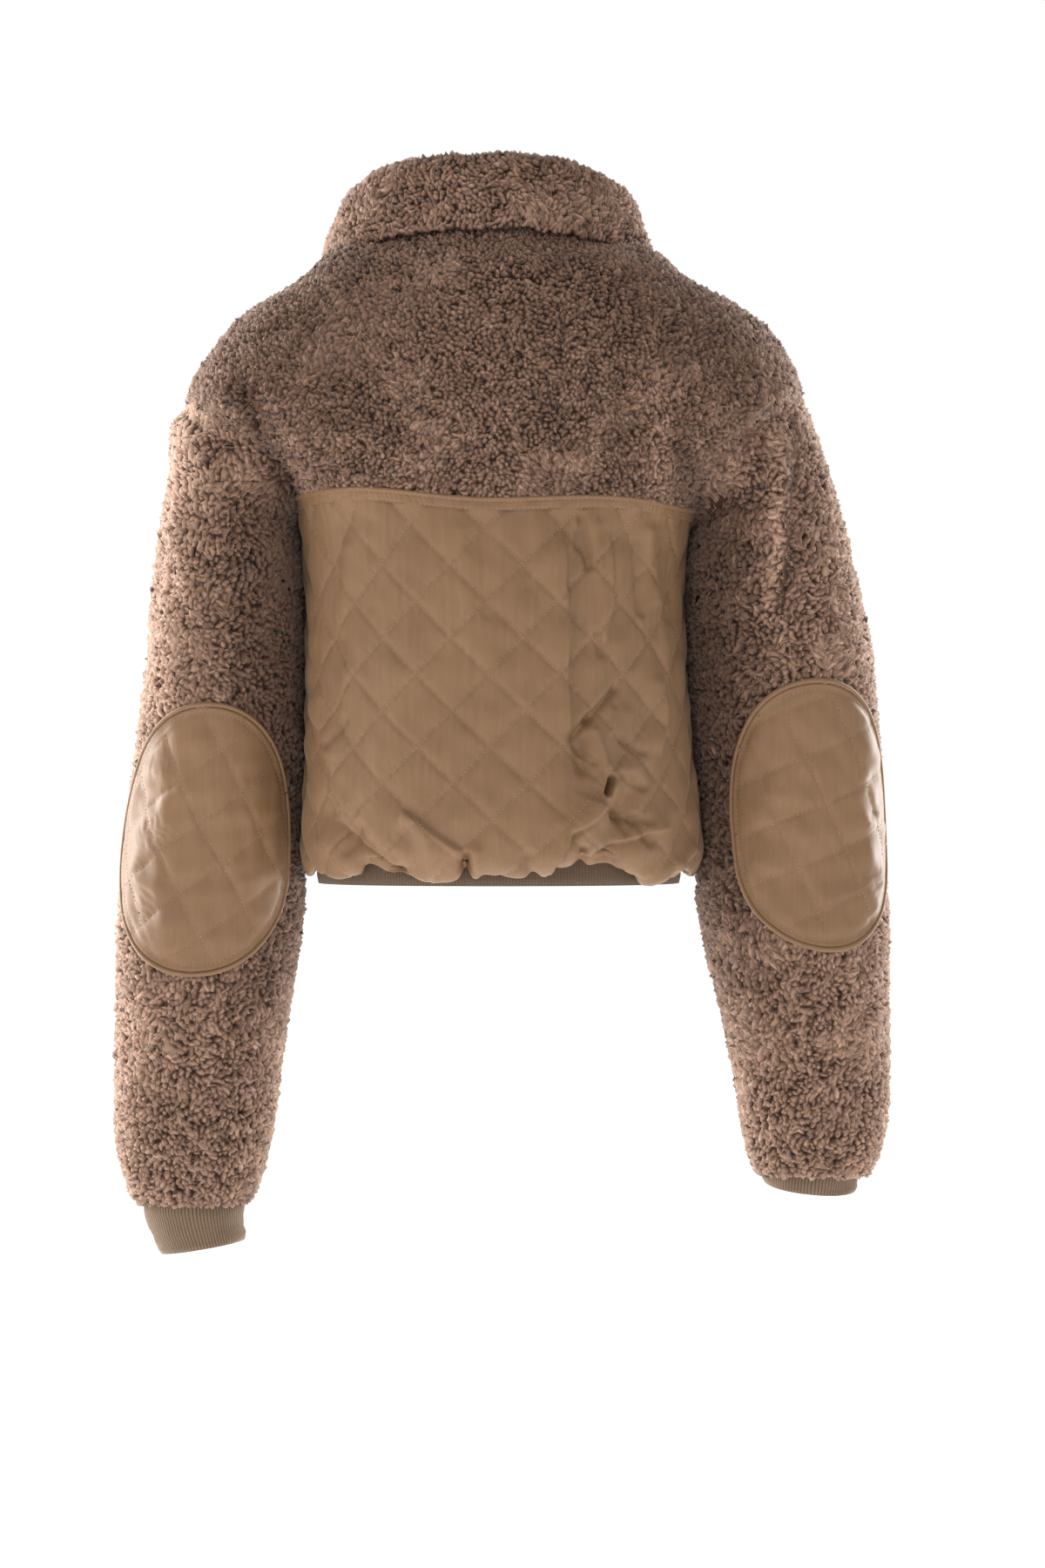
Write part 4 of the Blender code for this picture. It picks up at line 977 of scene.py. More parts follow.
# The build of the pile: between curls, then a curl's length, half width and height, how much it
# lies down the cloth, its ridge's share of the length, and how far its way wanders.
Pile = namedtuple("Pile", "spacing length radius height down crest stray")
YOKE_PILE = Pile(0.00264, 0.0068, 0.00310, 0.0029, 0.35, 0.44, 0.36)
SLEEVE_PILE = Pile(0.00304, 0.0080, 0.00350, 0.0034, 0.30, 0.55, 0.26)
COLLAR_PILE = Pile(0.00266, 0.0068, 0.00290, 0.0034, 0.30, 0.60, 0.36)
BACKING_SINK = 0.0009        # the backing's face below the curls' roots
TRIES = 7.0                  # places that are tried for each that can be free
# Uneven values over the pile: how many waves, the longest and the shortest
SWIRL = (24, 0.090, 0.022)
CLUMP = (24, 0.030, 0.007)
BRUSH = (12, 0.160, 0.050)
# A curl's three stations: how far along it lie its low sides and its ridge, its half width, the
# heights of its low sides and of its ridge, and how far it bends to the side.
CURL = [
    (-0.46, -0.38, 0.60, -0.30, 0.46, 0.0),
    (0.02, 0.02, 1.00, -0.20, 1.00, 1.0),
    (0.50, 0.46, 0.66, -0.04, 0.76, -0.4),
]
# How light each station's ridge is painted; the low sides stay dark as painted shade between the curls.
CURL_TINT = [0.62, 1.0, 0.88]
CURL_FACES = [(0, 3, 4), (0, 4, 1), (1, 4, 5), (1, 5, 2), (3, 6, 7), (3, 7, 4), (4, 7, 8), (4, 8, 5),
              (0, 1, 2), (6, 8, 7)]


def scatter(face, spacing, seed, keep=None):
    """Places on a grid of points, about evenly spaced: their squares and shares across them."""
    chance = np.random.default_rng(seed)
    a, b, c, d = face[:-1, :-1], face[:-1, 1:], face[1:, :-1], face[1:, 1:]
    upper, lower = np.cross(b - a, c - a), np.cross(b - d, c - d)
    area = (np.linalg.norm(upper, axis=-1) + np.linalg.norm(lower, axis=-1)) / 2
    share = np.cumsum(area.ravel())
    wanted = int(share[-1] / spacing ** 2 * TRIES)
    square = np.searchsorted(share, chance.random(wanted) * share[-1])
    row, column = np.unravel_index(np.minimum(square, area.size - 1), area.shape)
    up, across = chance.random(wanted), chance.random(wanted)
    places = at_grid(face, row, column, up, across)
    free = np.ones(wanted, dtype=bool) if keep is None else keep(row + up, column + across)
    tree = KDTree(wanted)
    for i, place in enumerate(places):
        tree.insert(place, i)
    tree.balance()
    chosen = []
    for i in range(wanted):
        if free[i]:
            chosen.append(i)
            for _, j, _ in tree.find_range(places[i], spacing):
                free[j] = False
    return row[chosen], column[chosen], up[chosen], across[chosen]


def grow_pile(node, face, normal, build, seed, size=None, keep=None, tone_and_shade=None):
    """Curls over a grid of points: each rises from the cloth, arches over and tapers to a tip."""
    place = scatter(face, build.spacing, seed, keep)
    root = at_grid(face, *place)
    out = unit(at_grid(normal, *place))
    chance = np.random.default_rng(seed + 1)
    count = len(root)

    def varied(spread, low, high):
        """Random shares about 1, one for each curl."""
        return (1 + spread * chance.normal(size=count)).clip(low, high)

    down = np.array([0.0, 0.0, -1.0]) - out * (out @ np.array([0.0, 0.0, -1.0]))[:, None]
    down = unit(down + out[:, [1, 2, 0]] * 1e-3)
    side = np.cross(out, down)
    swirl = waves(root, seed + 2, *SWIRL) * 0.95
    turn = swirl + chance.normal(size=count) * build.stray
    lean = unit(down * (np.cos(turn) + build.down)[:, None] + side * np.sin(turn)[:, None])
    cross = np.cross(out, lean)
    clump = waves(root, seed + 3, *CLUMP)
    brushed = np.clip(0.6 * waves(root, seed + 4, *BRUSH) - 0.20, 0, 0.8)
    scale = np.clip(1 + 0.05 * clump + 0.11 * chance.normal(size=count), 0.74, 1.35)
    if size is not None:
        scale = scale * size(root)
    length = build.length * scale * varied(0.15, 0.70, 1.4) * (1 + 0.25 * brushed)
    radius = build.radius * scale * varied(0.10, 0.78, 1.25)
    height = build.height * scale * varied(0.15, 0.65, 1.4) * (1 - 0.22 * brushed)
    curve = chance.normal(size=count) * 0.15
    crests = build.crest * varied(0.45, 0.3, 1.8)
    points = []
    for along, crest, half, low, high, sideways in CURL:
        bend = cross * (sideways * curve * length)[:, None]
        ridge = root + bend + out * (high * height)[:, None] + lean * (crest * crests * length)[:, None]
        middle = root + bend + out * (low * height)[:, None] + lean * (along * length)[:, None]
        reach = cross * (half * radius)[:, None]
        points += [middle - reach, ridge, middle + reach]
    points = np.stack(points, axis=1)
    faces = repeated(CURL_FACES, count, 9)
    piece = new_piece(f"{node}_pile", points.reshape(-1, 3), [faces], PILE)
    lightness = 0.42 + 0.10 * chance.normal(size=count) + 0.05 * clump + 0.08 * brushed
    # Painted light and shade for the place and the way each curl faces, added to its lightness.
    if tone_and_shade is not None:
        lightness = lightness + tone_and_shade(root, out)
    # Red: painted shade, dark at the low sides and light on the ridge; green: lightness with painted light
    # and shade; blue: across the curl.
    tint = np.ones((count, 9, 4), dtype=np.float32)
    tint[:, :, 0] = (0.34 * brushed)[:, None]
    tint[:, [1, 4, 7], 0] = CURL_TINT
    tint[:, :, 1] = np.clip(lightness, 0, 1)[:, None]
    tint[:, :, 2] = [0.0, 0.5, 1.0] * 3
    paint(piece, "pile", tint)
    return piece


def fleece_wall(node, face, lining, normal, **form):
    """The knitted backing under a piece's curls, with half as fine a grid."""
    sunk = face - normal * BACKING_SINK
    return shell(node, "cloth", sunk[::2, ::2], lining[::2, ::2], BACKING, **form)


# ---------------------------------------------------------------- the body's cloth

YOKE_FINE_ROWS = 73
CREASE_LIGHT_AND_SHADE = 42            # painted shade in grooves and painted light on ridges: how much the pile is darkened for each metre of a crease's depth
DIP_DEPTH = 0.0036           # how far cloth is drawn in at an armhole's seam
DIP_WIDTH = 0.0115
SHOULDER_FILL = 0.0100       # how far the shoulders fill up under the collar's ends
COLLAR_END = 0.104           # how far out those lie
NAPE_FILL = 0.0042           # how far the yoke fills up under the collar at the back


def body_surface(rows, starts, ends, columns):
    """A body piece's surface without and with its folds, and its normals, rows and angles."""
    share = np.linspace(0, 1, columns)[None, :]
    angles = starts[:, None] + (ends - starts)[:, None] * share
    rows = rows[:, None]
    base = body_point(rows, angles)
    normal = body_normal(rows, angles)
    face = base + normal * body_folds(base, rows)[..., None]
    return np.broadcast_to(rows, angles.shape), angles, base, normal, face


def fine_rows(low, high, count):
    """Rows from one to another, evenly spaced up the middle of the back."""
    many = np.linspace(low, high, 400)
    line = body_point(many, np.full(many.shape, BACK))
    return evenly(reach_along(line), many, count)


def armhole_dip(points, side):
    """How far cloth is drawn in beside an armhole's seam, most at the back under the shoulder."""
    seam = armhole_point(side, full_turn(180))
    flat = points.reshape(-1, 3)
    away = np.min([np.linalg.norm(flat - spot, axis=1) for spot in seam], axis=0)
    away = away.reshape(points.shape[:-1])
    z, y = points[..., 2], points[..., 1]
    armpit = body_point(ROW_YOKE, angle_at_side(np.array(float(ROW_YOKE)), 0.0))[2]
    deep = climb(-z, 0.085, 0.045) * np.clip(0.5 + y / 0.050, 0.2, 1)
    return DIP_DEPTH * deep * bell(away, DIP_WIDTH) * climb(z, armpit, 0.016)


def forward(points, depth):
    """A shift into the jacket by the given depth, the same way for both cloths at a seam."""
    shift = np.zeros(points.shape)
    shift[..., 1] = -depth * np.tanh(points[..., 1] / 0.020)
    return shift


def shoulder_lift(points, normal):
    """The shoulders fill up under the ends of the collar, which rests on them."""
    x, y, z = np.abs(points[..., 0]), points[..., 1], points[..., 2]
    under = bell(z + 0.022, 0.012) * climb(y, 0, 0.040) * climb(-x, -0.098, 0.030)
    near = bell(x - COLLAR_END, 0.021)
    return SHOULDER_FILL * near * np.clip(normal[..., 2], 0, 1) + NAPE_FILL * under


def yoke_creases(points):
    behind = climb(points[..., 1], 0, SIDE_FADE)
    return folds_at(points[..., 0], points[..., 2], YOKE_CREASES) * behind


def yoke_curl_size(points):
    """Curls are finer in the middle of the back and coarser beside the armholes."""
    return 0.94 + 0.26 * climb(np.abs(points[:, 0]), 0.075, 0.070)


def yoke_tone_and_shade(points, out):
    """Painted shade toward the armholes and of a shallow fold down one side of the middle, a lighter band
    behind near the right armhole, and painted light and shade on the creases.
    """
    x, y, z = points.T
    behind = climb(y, 0, 0.020) * climb(-z, 0.080, 0.030)
    # Painted shade toward the armholes, most at the back.
    shaded = np.clip((y + 0.060) / 0.100, 0.25, 1)
    tone_and_shade = -0.02 - 0.22 * climb(np.abs(x), 0.050, 0.050) * shaded
    # Painted shade of a shallow fold down one side of the middle.
    tone_and_shade -= 0.13 * bell(x + 0.040, 0.018)
    tone_and_shade += 0.30 * behind * bell(x + 0.112, 0.010)
    # Painted shade in the creases' grooves and painted light on their ridges.
    return tone_and_shade + CREASE_LIGHT_AND_SHADE * yoke_creases(points)


def build_yoke(node, part, columns, seed, edges):
    """A yoke's knitted backing and its curls. Its armhole edges are their column, side and way."""
    rows = fine_rows(row_step(ROW_YOKE, SEAM / 2), ROW_NECK, YOKE_FINE_ROWS)
    _, _, base, normal, face = body_surface(rows, *piece_angles(part, rows), columns)
    dip = sum(armhole_dip(base, side) for _, side, _ in reversed(edges))
    shift = normal * shoulder_lift(base, normal)[..., None] + forward(base, dip - yoke_creases(base))
    base, face = base + shift, face + shift
    lining = face - WALL * normal
    on_edge = rows < ROW_ARM_TOP + 0.01
    for column, side, way in edges:
        inward = armhole_inward(side, way * armhole_turn(rows)[on_edge])
        face[on_edge, column] = base[on_edge, column]
        lining[on_edge, column] = base[on_edge, column] + WALL * inward
    cloth = fleece_wall(node, face, lining, normal)
    pile = grow_pile(node, face, normal, YOKE_PILE, seed, yoke_curl_size, tone_and_shade=yoke_tone_and_shade)


# ---------------------------------------------------------------- quilted panels

CREASE_GAIN = 1.45           # the back's creases are deeper than its table says
UNEVEN = 0.00045             # how high the padding's unevenness is
CRINKLE = 0.00016            # and the satin's fine crinkles, most near the yoke
QUILT_FADE_LOW = 1.2         # rows over which the padding fades out at the turned edge
QUILT_FADE_HIGH = 0.35       # and under the yoke's seam


def flat_across(angles):
    """Distance round the body at its middle from the centre of the back, positive to +X."""
    many = np.linspace(-1.5 * math.pi, 1.5 * math.pi, 2000)
    line = body_point(np.full(many.shape, float(ROW_MIDDLE)), many)
    line[:, 2] = 0
    reach = reach_along(line)
    return -np.interp(angles, many, reach - np.interp(BACK, many, reach))


def flat_up(rows):
    """Height of rows as the cloth lies flat, equal to their true height in the panel's middle."""
    many = np.linspace(0, ROW_YOKE + 1, 600)
    reach = reach_along(body_point(many, np.full(many.shape, BACK)))
    return np.interp(rows, many, reach) - np.interp(ROW_MIDDLE, many, reach) + BODY[ROW_MIDDLE].z


def creases(points, row):
    """Height of the fine creases on a quilted panel, fading at its turned edge and side seams."""
    x, z = points[..., 0], points[..., 2]
    height = np.where(
        points[..., 1] >= 0,
        CREASE_GAIN * folds_at(x, z, BACK_CREASES) + ledges_at(x, z, BACK_LEDGES),
        folds_at(x, z, FRONT_CREASES) + ledges_at(x, z, FRONT_LEDGES),
    )
    return height * off_side(points) * climb(row, 0, 1.5) ** 2 * climb(ROW_YOKE - 0.15 - row, 0, 0.4)


def lowest_near(relief):
    """Lowest relief within one square of the lining's grid, never above the cloth's own surface."""
    low = np.minimum(relief, 0)
    steps = range(-LINING_STEP, LINING_STEP + 1)
    for axis in (0, 1):
        low = np.minimum.reduce([np.roll(low, step, axis=axis) for step in steps])
    return low


def build_panel(node, part, row_count, columns, seed):
    """A quilted panel with padded diamonds, creases and its stitches."""
    rows = fine_rows(0, row_step(ROW_YOKE, -SEAM / 2), row_count)
    grid_rows, angles, base, normal, face = body_surface(rows, *piece_angles(part, rows), columns)
    a, b = quilt_lines(flat_across(angles), flat_up(grid_rows))
    fade = climb(grid_rows, 0, QUILT_FADE_LOW) * climb(ROW_YOKE - grid_rows, 0, QUILT_FADE_HIGH)
    relief = quilt_relief(a, b) * fade + creases(base, grid_rows)
    relief += UNEVEN * waves(base, seed, 20, 0.050, 0.016) * fade
    crinkle = waves(base * np.array([1.0, 1.0, 0.16]), seed + 1, 26, 0.011, 0.0045)
    relief += CRINKLE * crinkle * (0.4 + 0.6 * climb(grid_rows, 0, ROW_YOKE) ** 2)
    puffed = face + normal * relief[..., None]
    lining = face + normal * (lowest_near(relief)[..., None] - WALL)
    cloth = shell(node, "quilted", puffed, lining, SATIN)
    out = grid_normal(puffed)
    stitches = []
    for path in level_lines(a, b):
        for run in split_path(*path):
            shown = grid_read(fade[..., None], *run)[:, 0]
            line = grid_read(puffed, *run)
            stitches.append(stitches_on(line, grid_read(out, *run), shown, STITCH_SINK))
    stitch_mesh(f"{node}_stitches", stitches)


def split_path(row, column):
    """A stitch line in the runs in which each next row's crossing lies beside the last."""
    order = np.argsort(row, kind="stable")
    row, column = row[order], column[order]
    breaks = np.nonzero((np.diff(row) != 1) | (np.abs(np.diff(column)) > 4))[0] + 1
    runs = np.split(np.arange(len(row)), breaks)
    return [(row[run], column[run]) for run in runs if len(run) >= 4]


# Along the band, how far up its height each line lies, how wide it is and how high: the rolled
# edge, the crease beside it and the valley of the lower stitches
BAND_LINES = [(0.86, 0.11, 0.0013), (0.68, 0.05, -0.0005), (0.10, 0.08, -0.0006)]
BAND_PUCKER = 0.0037         # one pucker, along the band
BAND_PUCKER_HEIGHT = 0.00022
BAND_ROWS = 17
BAND_STITCHES = (2, 11)      # the rows of the grid that the two lines of stitches follow


def build_yoke_band():
    """The topstitched band: a rolled edge at its top, fine puckers, and two lines of stitches."""
    top = float(row_step(ROW_YOKE, -SEAM / 2))
    bottom = float(row_step(top, -YOKE_BAND_HEIGHT))
    side = angle_at_side(np.array([bottom, top]), np.full(2, SEAM / 2))[0]
    margin = (math.pi - 2 * side) / (BACK_COLUMNS - 1)
    rows = np.linspace(bottom, top, BAND_ROWS)[:, None]
    angles = np.linspace(side + margin, math.pi - side - margin, 401)[None, :]
    base = body_point(rows, angles)
    normal = body_normal(rows, angles)
    ground = base + normal * (body_folds(base, rows)[..., None] + SEAM)
    share = (rows - bottom) / (top - bottom)
    across = flat_across(angles)
    relief = YOKE_BAND_WALL
    for place, width, height in BAND_LINES:
        relief = relief + height * bell(share - place, width)
    pucker = np.sin(across * ROUND / BAND_PUCKER + 1.4 * np.sin(across * 190))
    relief = relief + BAND_PUCKER_HEIGHT * (pucker * np.sin(math.pi * share * 0.9))
    relief = relief + 0.0002 * waves(base, 72, 16, 0.030, 0.008)
    face = ground + normal * relief[..., None]
    cloth = shell("yoke_band", "cloth", face, ground + normal * 0.0001, SATIN)
    stitches = [stitches_on(face[row], normal[row]) for row in BAND_STITCHES]
    stitches = stitch_mesh("yoke_band_stitches", stitches)


# ---------------------------------------------------------------- rib knit

RIB_PITCH = 0.0022           # one rib of the knit
RIB_RELIEF = 0.0005
RIB_COLUMNS = 6              # columns of the grid for each rib
CUFF_RIBS = 92
HEM_PAINTED_SHADOW = 0.32             # painted shadow: the hem's ribs are painted darker, as the blouse above shades the hem
HEM_ROLL = 0.0006            # how far the hem's lower edge turns in
CUFF_ROWS = 13
CUFF_WRINKLE = 0.0006


def rib_wave(face, ribs):
    """0 between the ribs and 1 on their tops, for ribs that run across a grid's rows."""
    columns = face.shape[1]
    wave = np.sqrt(np.abs(np.cos(np.arange(columns) * ribs / columns * ROUND / 2)))
    return wave[None, :] * np.ones((face.shape[0], 1))


def paint_ribs(piece, wave):
    colours = np.ones((len(piece.data.vertices), 4), dtype=np.float32)
    colours[:, :3] = 0.5
    colours[:wave.size, 0] = wave.ravel()
    paint(piece, "rib", colours)


def build_hem_band():
    start = float(angle_at_front(np.array(0.0), ZIP_HALF_GAP))
    many = np.linspace(start, math.pi - start, 3000)
    reach = reach_along(body_point(ROW_EDGE, many))
    ribs = int(reach[-1] / RIB_PITCH)
    columns = ribs * RIB_COLUMNS + 1
    columns += (-(columns - 1)) % LINING_STEP
    angles = evenly(reach, many, columns)
    top = body_point(ROW_EDGE, angles)
    inward = body_normal(ROW_EDGE, angles)
    inward[:, 2] = 0
    inward = unit(inward)
    face = []
    for share in np.linspace(0, 1, 9):
        row = top + inward * (SEAM + HEM_ROLL * max(0.0, (share - 0.86) / 0.14) ** 2)
        row[:, 2] -= BAND_HEIGHT * share
        face.append(row)
    face = np.array(face)
    wave = rib_wave(face, ribs)
    raised = face - inward * (wave * RIB_RELIEF)[..., None]
    raised[0], raised[-1] = face[0], face[-1]
    cloth = shell("hem_band", "rib", raised, face + RIB_WALL * inward, RIB)
    # The hem's ribs painted darker as painted shadow under the blouse.
    paint_ribs(cloth, HEM_PAINTED_SHADOW * wave)


def build_cuff(sleeve):
    top = sleeve.rings[-1]
    turns = full_turn(CUFF_RIBS * RIB_COLUMNS)
    across = signed_power(np.cos(turns), 2 / top.square)
    deep = signed_power(np.sin(turns), 2 / top.square)

    def ring(place, inset):
        down, tilt, outer_in, inner_in, back_down = (float(ease(c, place)) for c in zip(*sleeve.cuff))
        outer = top.outer - SEAM - inset - outer_in
        inner = top.inner + SEAM + inset + inner_in
        x = (outer + inner) / 2 + (outer - inner) / 2 * across
        y = top.middle + (top.depth - SEAM - inset) * deep
        z = top.z - down + tilt / 2 * across - back_down * deep
        return np.stack([sleeve.side * x, y, z], axis=-1)

    places = np.linspace(0, 2, CUFF_ROWS)
    face = np.array([ring(place, 0.0) for place in places])
    lining = np.array([ring(place, RIB_WALL) for place in places])
    out = unit(face - lining)
    wave = rib_wave(face, CUFF_RIBS)
    wrinkle = waves(face * np.array([0.5, 0.5, 2.0]), 90 + sleeve.side, 14, 0.040, 0.014)
    inside = np.ones((CUFF_ROWS, 1))
    inside[[0, -1]] = 0
    raised = face + out * ((wave * RIB_RELIEF + CUFF_WRINKLE * wrinkle) * inside)[..., None]
    cloth = shell(f"cuff_{sleeve.name}", "rib", raised, lining, RIB, tube=True, flip=sleeve.side > 0)
    # Dark between the ribs as painted shade.
    paint_ribs(cloth, wave)


# ---------------------------------------------------------------- sleeves

SLEEVE_FINE_ROWS = 121
SLEEVE_FINE_COLUMNS = 144
PILE_END = 12.3              # the place on a sleeve at which its curls stop, inside its mouth
PATCH_MARGIN = 1.008         # curls stop this far from a patch's middle


def build_sleeve(sleeve):
    """One sleeve: its knitted backing, and its curls outside the elbow patch."""
    side = sleeve.side
    node = f"sleeve_{sleeve.name}"
    places = sleeve_fine_places(sleeve)[:, None]
    turns = full_turn(SLEEVE_FINE_COLUMNS)[None, :]
    base = sleeve_point(sleeve, places, turns)
    normal = sleeve_normal(sleeve, places, turns)
    face = base + normal * sleeve_folds(sleeve, base, places, turns)[..., None]
    x, y, z = base[..., 0], base[..., 1], base[..., 2]
    inner = climb(-side * normal[..., 0], 0.25, 0.65)
    inner = inner * inner * (3 - 2 * inner) * climb(from_patch(sleeve, turns, z), 1.02, 0.25)
    shift = np.interp(-z, *sleeve.press) * inner
    behind = np.clip(y / 0.020 + 0.5, 0, 1) * climb(places, 0, 0.8)
    shift = shift + ledges_at(x, z, sleeve.ledges) * behind
    pull = forward(base, armhole_dip(base, side) - yoke_creases(base) * np.clip(1.4 - places, 0, 1))
    face = face + normal * shift[..., None] + pull
    lining = face - WALL * normal
    away = unit(sleeve_point(sleeve, 0.5, turns[0]) - base[0])
    face[0] = base[0] + away * SEAM + normal[0] * shift[0][:, None] + pull[0]
    lining[0] = face[0] + WALL * armhole_inward(side, turns[0])
    cloth = fleece_wall(node, face, lining, normal, tube=True, flip=side < 0)
    visible = places[:, 0] <= PILE_END
    around, out = looped(face)[visible], looped(normal)[visible]
    angles = np.linspace(0, ROUND, SLEEVE_FINE_COLUMNS + 1)

    def off_patch(row, column):
        height = grid_read(around[..., 2:], row, column)[:, 0]
        turn = np.interp(column, np.arange(len(angles)), angles)
        return from_patch(sleeve, turn, height) > PATCH_MARGIN

    pile = grow_pile(
        node, around, out, SLEEVE_PILE, sleeve.seed, sleeve_curl_size, off_patch, sleeve_painted_light)


def sleeve_fine_places(sleeve):
    """Places down a sleeve, evenly spaced along its back line."""
    many = np.linspace(0, len(sleeve.rings), 500)
    line = sleeve_point(sleeve, many, np.full(many.shape, BACK))
    steps = np.maximum(np.linalg.norm(np.diff(line, axis=0), axis=1), 0.0004)
    return evenly(np.concatenate([[0], np.cumsum(steps)]), many, SLEEVE_FINE_ROWS)


def sleeve_curl_size(points):
    return 1.04 - 0.12 * climb(-points[:, 2], 0.50, 0.12)


def sleeve_painted_light(points, out):
    """Painted light and shade on the sleeves' pile: painted light on the sides that face out, lighter below
    the elbows, painted shade beside the body and in the grooves, and painted highlight bands.
    """
    x, _, z = points.T
    lower = climb(-z, 0.30, 0.20)
    outward = out[:, 0] * np.sign(x)
    # Painted light on the sides that face out, most on the left arm.
    outer = climb(outward, 0.10, 0.60) * np.where(x > 0, 0.30 - 0.16 * lower, 0.14)
    # Painted shade beside the body.
    beside = climb(-outward, 0.05, 0.65) * climb(z, -0.60, 0.15)
    # Painted shade in the grooves by the armholes.
    folded = CREASE_LIGHT_AND_SHADE * np.minimum(yoke_creases(points), 0)
    return 0.05 + 0.08 * lower + outer - 0.58 * beside + 0.60 * painted_light_band(points) + folded


def painted_light_band(points):
    """Painted highlight down the back of the left upper arm, and a painted highlight with painted shadow
    beside it on the right arm's fold.
    """
    x, y, z = points.T
    left = bell(x - 0.2240 + 0.0765 * (z + 0.29), 0.0095)
    left = left * climb(-z, 0.10, 0.04) * climb(z, -0.34, 0.05)
    fold = np.interp(-z, [0.095, 0.152, 0.210, 0.270], [-0.1900, -0.1988, -0.1975, -0.1925])
    right = bell(x - fold - 0.002, 0.0045) - 0.35 * bell(x - fold + 0.012, 0.009)
    right = 0.8 * right * climb(-z, 0.10, 0.02) * climb(z, -0.28, 0.04)
    return (left + right) * climb(y, 0, 0.01)


# ---------------------------------------------------------------- elbow patches

PATCH_RINGS = 41
PATCH_SPOKES = 160
PATCH_PUFF = 0.62            # how much flatter a patch's diamonds are than the panels'
PATCH_EDGE = 0.10            # the share of the reach in which the quilting flattens to the edge
PATCH_PLEAT = 0.0062         # one fine pleat across the elbow
PLEAT_HEIGHT = 0.00038
PATCH_UNEVEN = 0.0005
EDGE_STITCHES = 0.955        # reach at which the stitches inside a patch's edge run
EDGE_VALLEY = 0.0004         # how deep they lie
EDGE_RISE = 0.0008           # how far the cloth rises to the piping outside them
LAST_STITCH = 0.945          # reach at which the quilting's stitches end
PIPING_SPOKES = 220
PIPING_CORNERS = 10


def build_patch(sleeve):
    """An elbow patch: padded diamonds, creases, stitches and the rolled edge round it."""
    patch, seed = sleeve.patch, sleeve.patch_seed
    node = f"elbow_patch_{sleeve.name}"
    reaches = np.linspace(0.0, 1.0, PATCH_RINGS)[:, None] ** 0.9
    place, turn = patch_place(sleeve, reaches, full_turn(PATCH_SPOKES)[None, :])
    ground = on_sleeve(sleeve, place, turn, PATCH_CLEAR + SEAM)
    normal = sleeve_normal(sleeve, place, turn)
    across, up = turn * SLEEVE_RADIUS, ground[..., 2]
    a, b = slanted_lines(sleeve, across, up)
    edge = climb(1 - reaches, 0, PATCH_EDGE) * np.ones(PATCH_SPOKES)
    relief = PATCH_WALL + PATCH_PUFF * quilt_relief(a, b) * (0.25 + 0.75 * edge)
    folded = folds_at(across, up, sleeve.patch_folds) + ledges_at(across, up, sleeve.patch_ledges)
    relief = relief + folded * edge
    uneven = 1.6 * waves(ground, seed + 5, 8, 0.03, 0.01)
    pleat = np.sin((across * 0.62 + up) * ROUND / PATCH_PLEAT + uneven)
    shown = np.clip(0.5 + waves(ground, seed + 6, 8, 0.05, 0.02), 0, 1)
    relief = relief + PLEAT_HEIGHT * pleat * (bell(across - sleeve.pleats, 0.020) * shown) * edge
    relief = relief + PATCH_UNEVEN * waves(ground, seed, 16, 0.045, 0.014) * edge
    relief = relief - EDGE_VALLEY * bell(reaches - EDGE_STITCHES, 0.012)
    relief = relief + EDGE_RISE * climb(reaches, 0.970, 0.030)
    face = ground + normal * relief[..., None]
    cloth = pad(node, face, ground)
    stitches = patch_stitches(looped(face), looped(normal), looped(a), looped(b), reaches[:, 0])
    stitches = stitch_mesh(f"{node}_stitches", stitches)
    build_piping(sleeve)


def slanted_lines(sleeve, across, up):
    """Stitch line numbers on a patch, whose two families slant by their own degrees."""
    middle = math.radians(sleeve.patch.turn) * SLEEVE_RADIUS
    numbers = []
    for degrees, offset, pitch in sleeve.slants:
        way = math.radians(degrees)
        away = -(across - middle) * math.sin(way) + (up - sleeve.patch.z) * math.cos(way)
        numbers.append((away - offset) / pitch)
    return numbers


def pad(node, face, ground):
    """A closed pad from a polar grid whose first ring is its middle."""
    top = np.concatenate([face[0, :1], face[1:].reshape(-1, 3)])
    under = np.concatenate([ground[0, :1], ground[-1]])
    spoke = np.arange(PATCH_SPOKES)
    after = (spoke + 1) % PATCH_SPOKES
    rim = 1 + (PATCH_RINGS - 2) * PATCH_SPOKES
    low = len(top) + 1
    faces = [
        squares(PATCH_RINGS - 1, PATCH_SPOKES, True, 1)[:, [0, 3, 2, 1]],
        np.stack([rim + spoke, low + spoke, low + after, rim + after], axis=-1),
        np.stack([0 * spoke, 1 + spoke, 1 + after], axis=-1),
        np.stack([0 * spoke + len(top), low + after, low + spoke], axis=-1),
    ]
    return new_piece(f"{node}_quilted", np.concatenate([top, under]), faces, SATIN, node)


def patch_stitches(face, normal, a, b, reaches):
    """Stitches on a patch's quilting and just inside its edge."""
    numbers = np.arange(len(reaches))
    groups = []
    for row, column in level_lines(a, b):
        shown = np.interp(row, numbers, reaches) < LAST_STITCH
        row, column = row[shown], column[shown]
        if len(row) < 6:
            continue
        line = grid_read(face, row, column)
        order = chain_order(line)
        out = unit(grid_read(normal, row, column)[order])
        starts, ends, outs = stitches_on(line[order], out)
        whole = np.linalg.norm(ends - starts, axis=1) > 0.6 * STITCH_LENGTH
        groups.append((starts[whole], ends[whole], outs[whole]))
    columns = np.arange(face.shape[1], dtype=float)
    row = np.full(columns.shape, np.interp(EDGE_STITCHES, reaches, numbers))
    groups.append(stitches_on(grid_read(face, row, columns), grid_read(normal, row, columns)))
    return groups


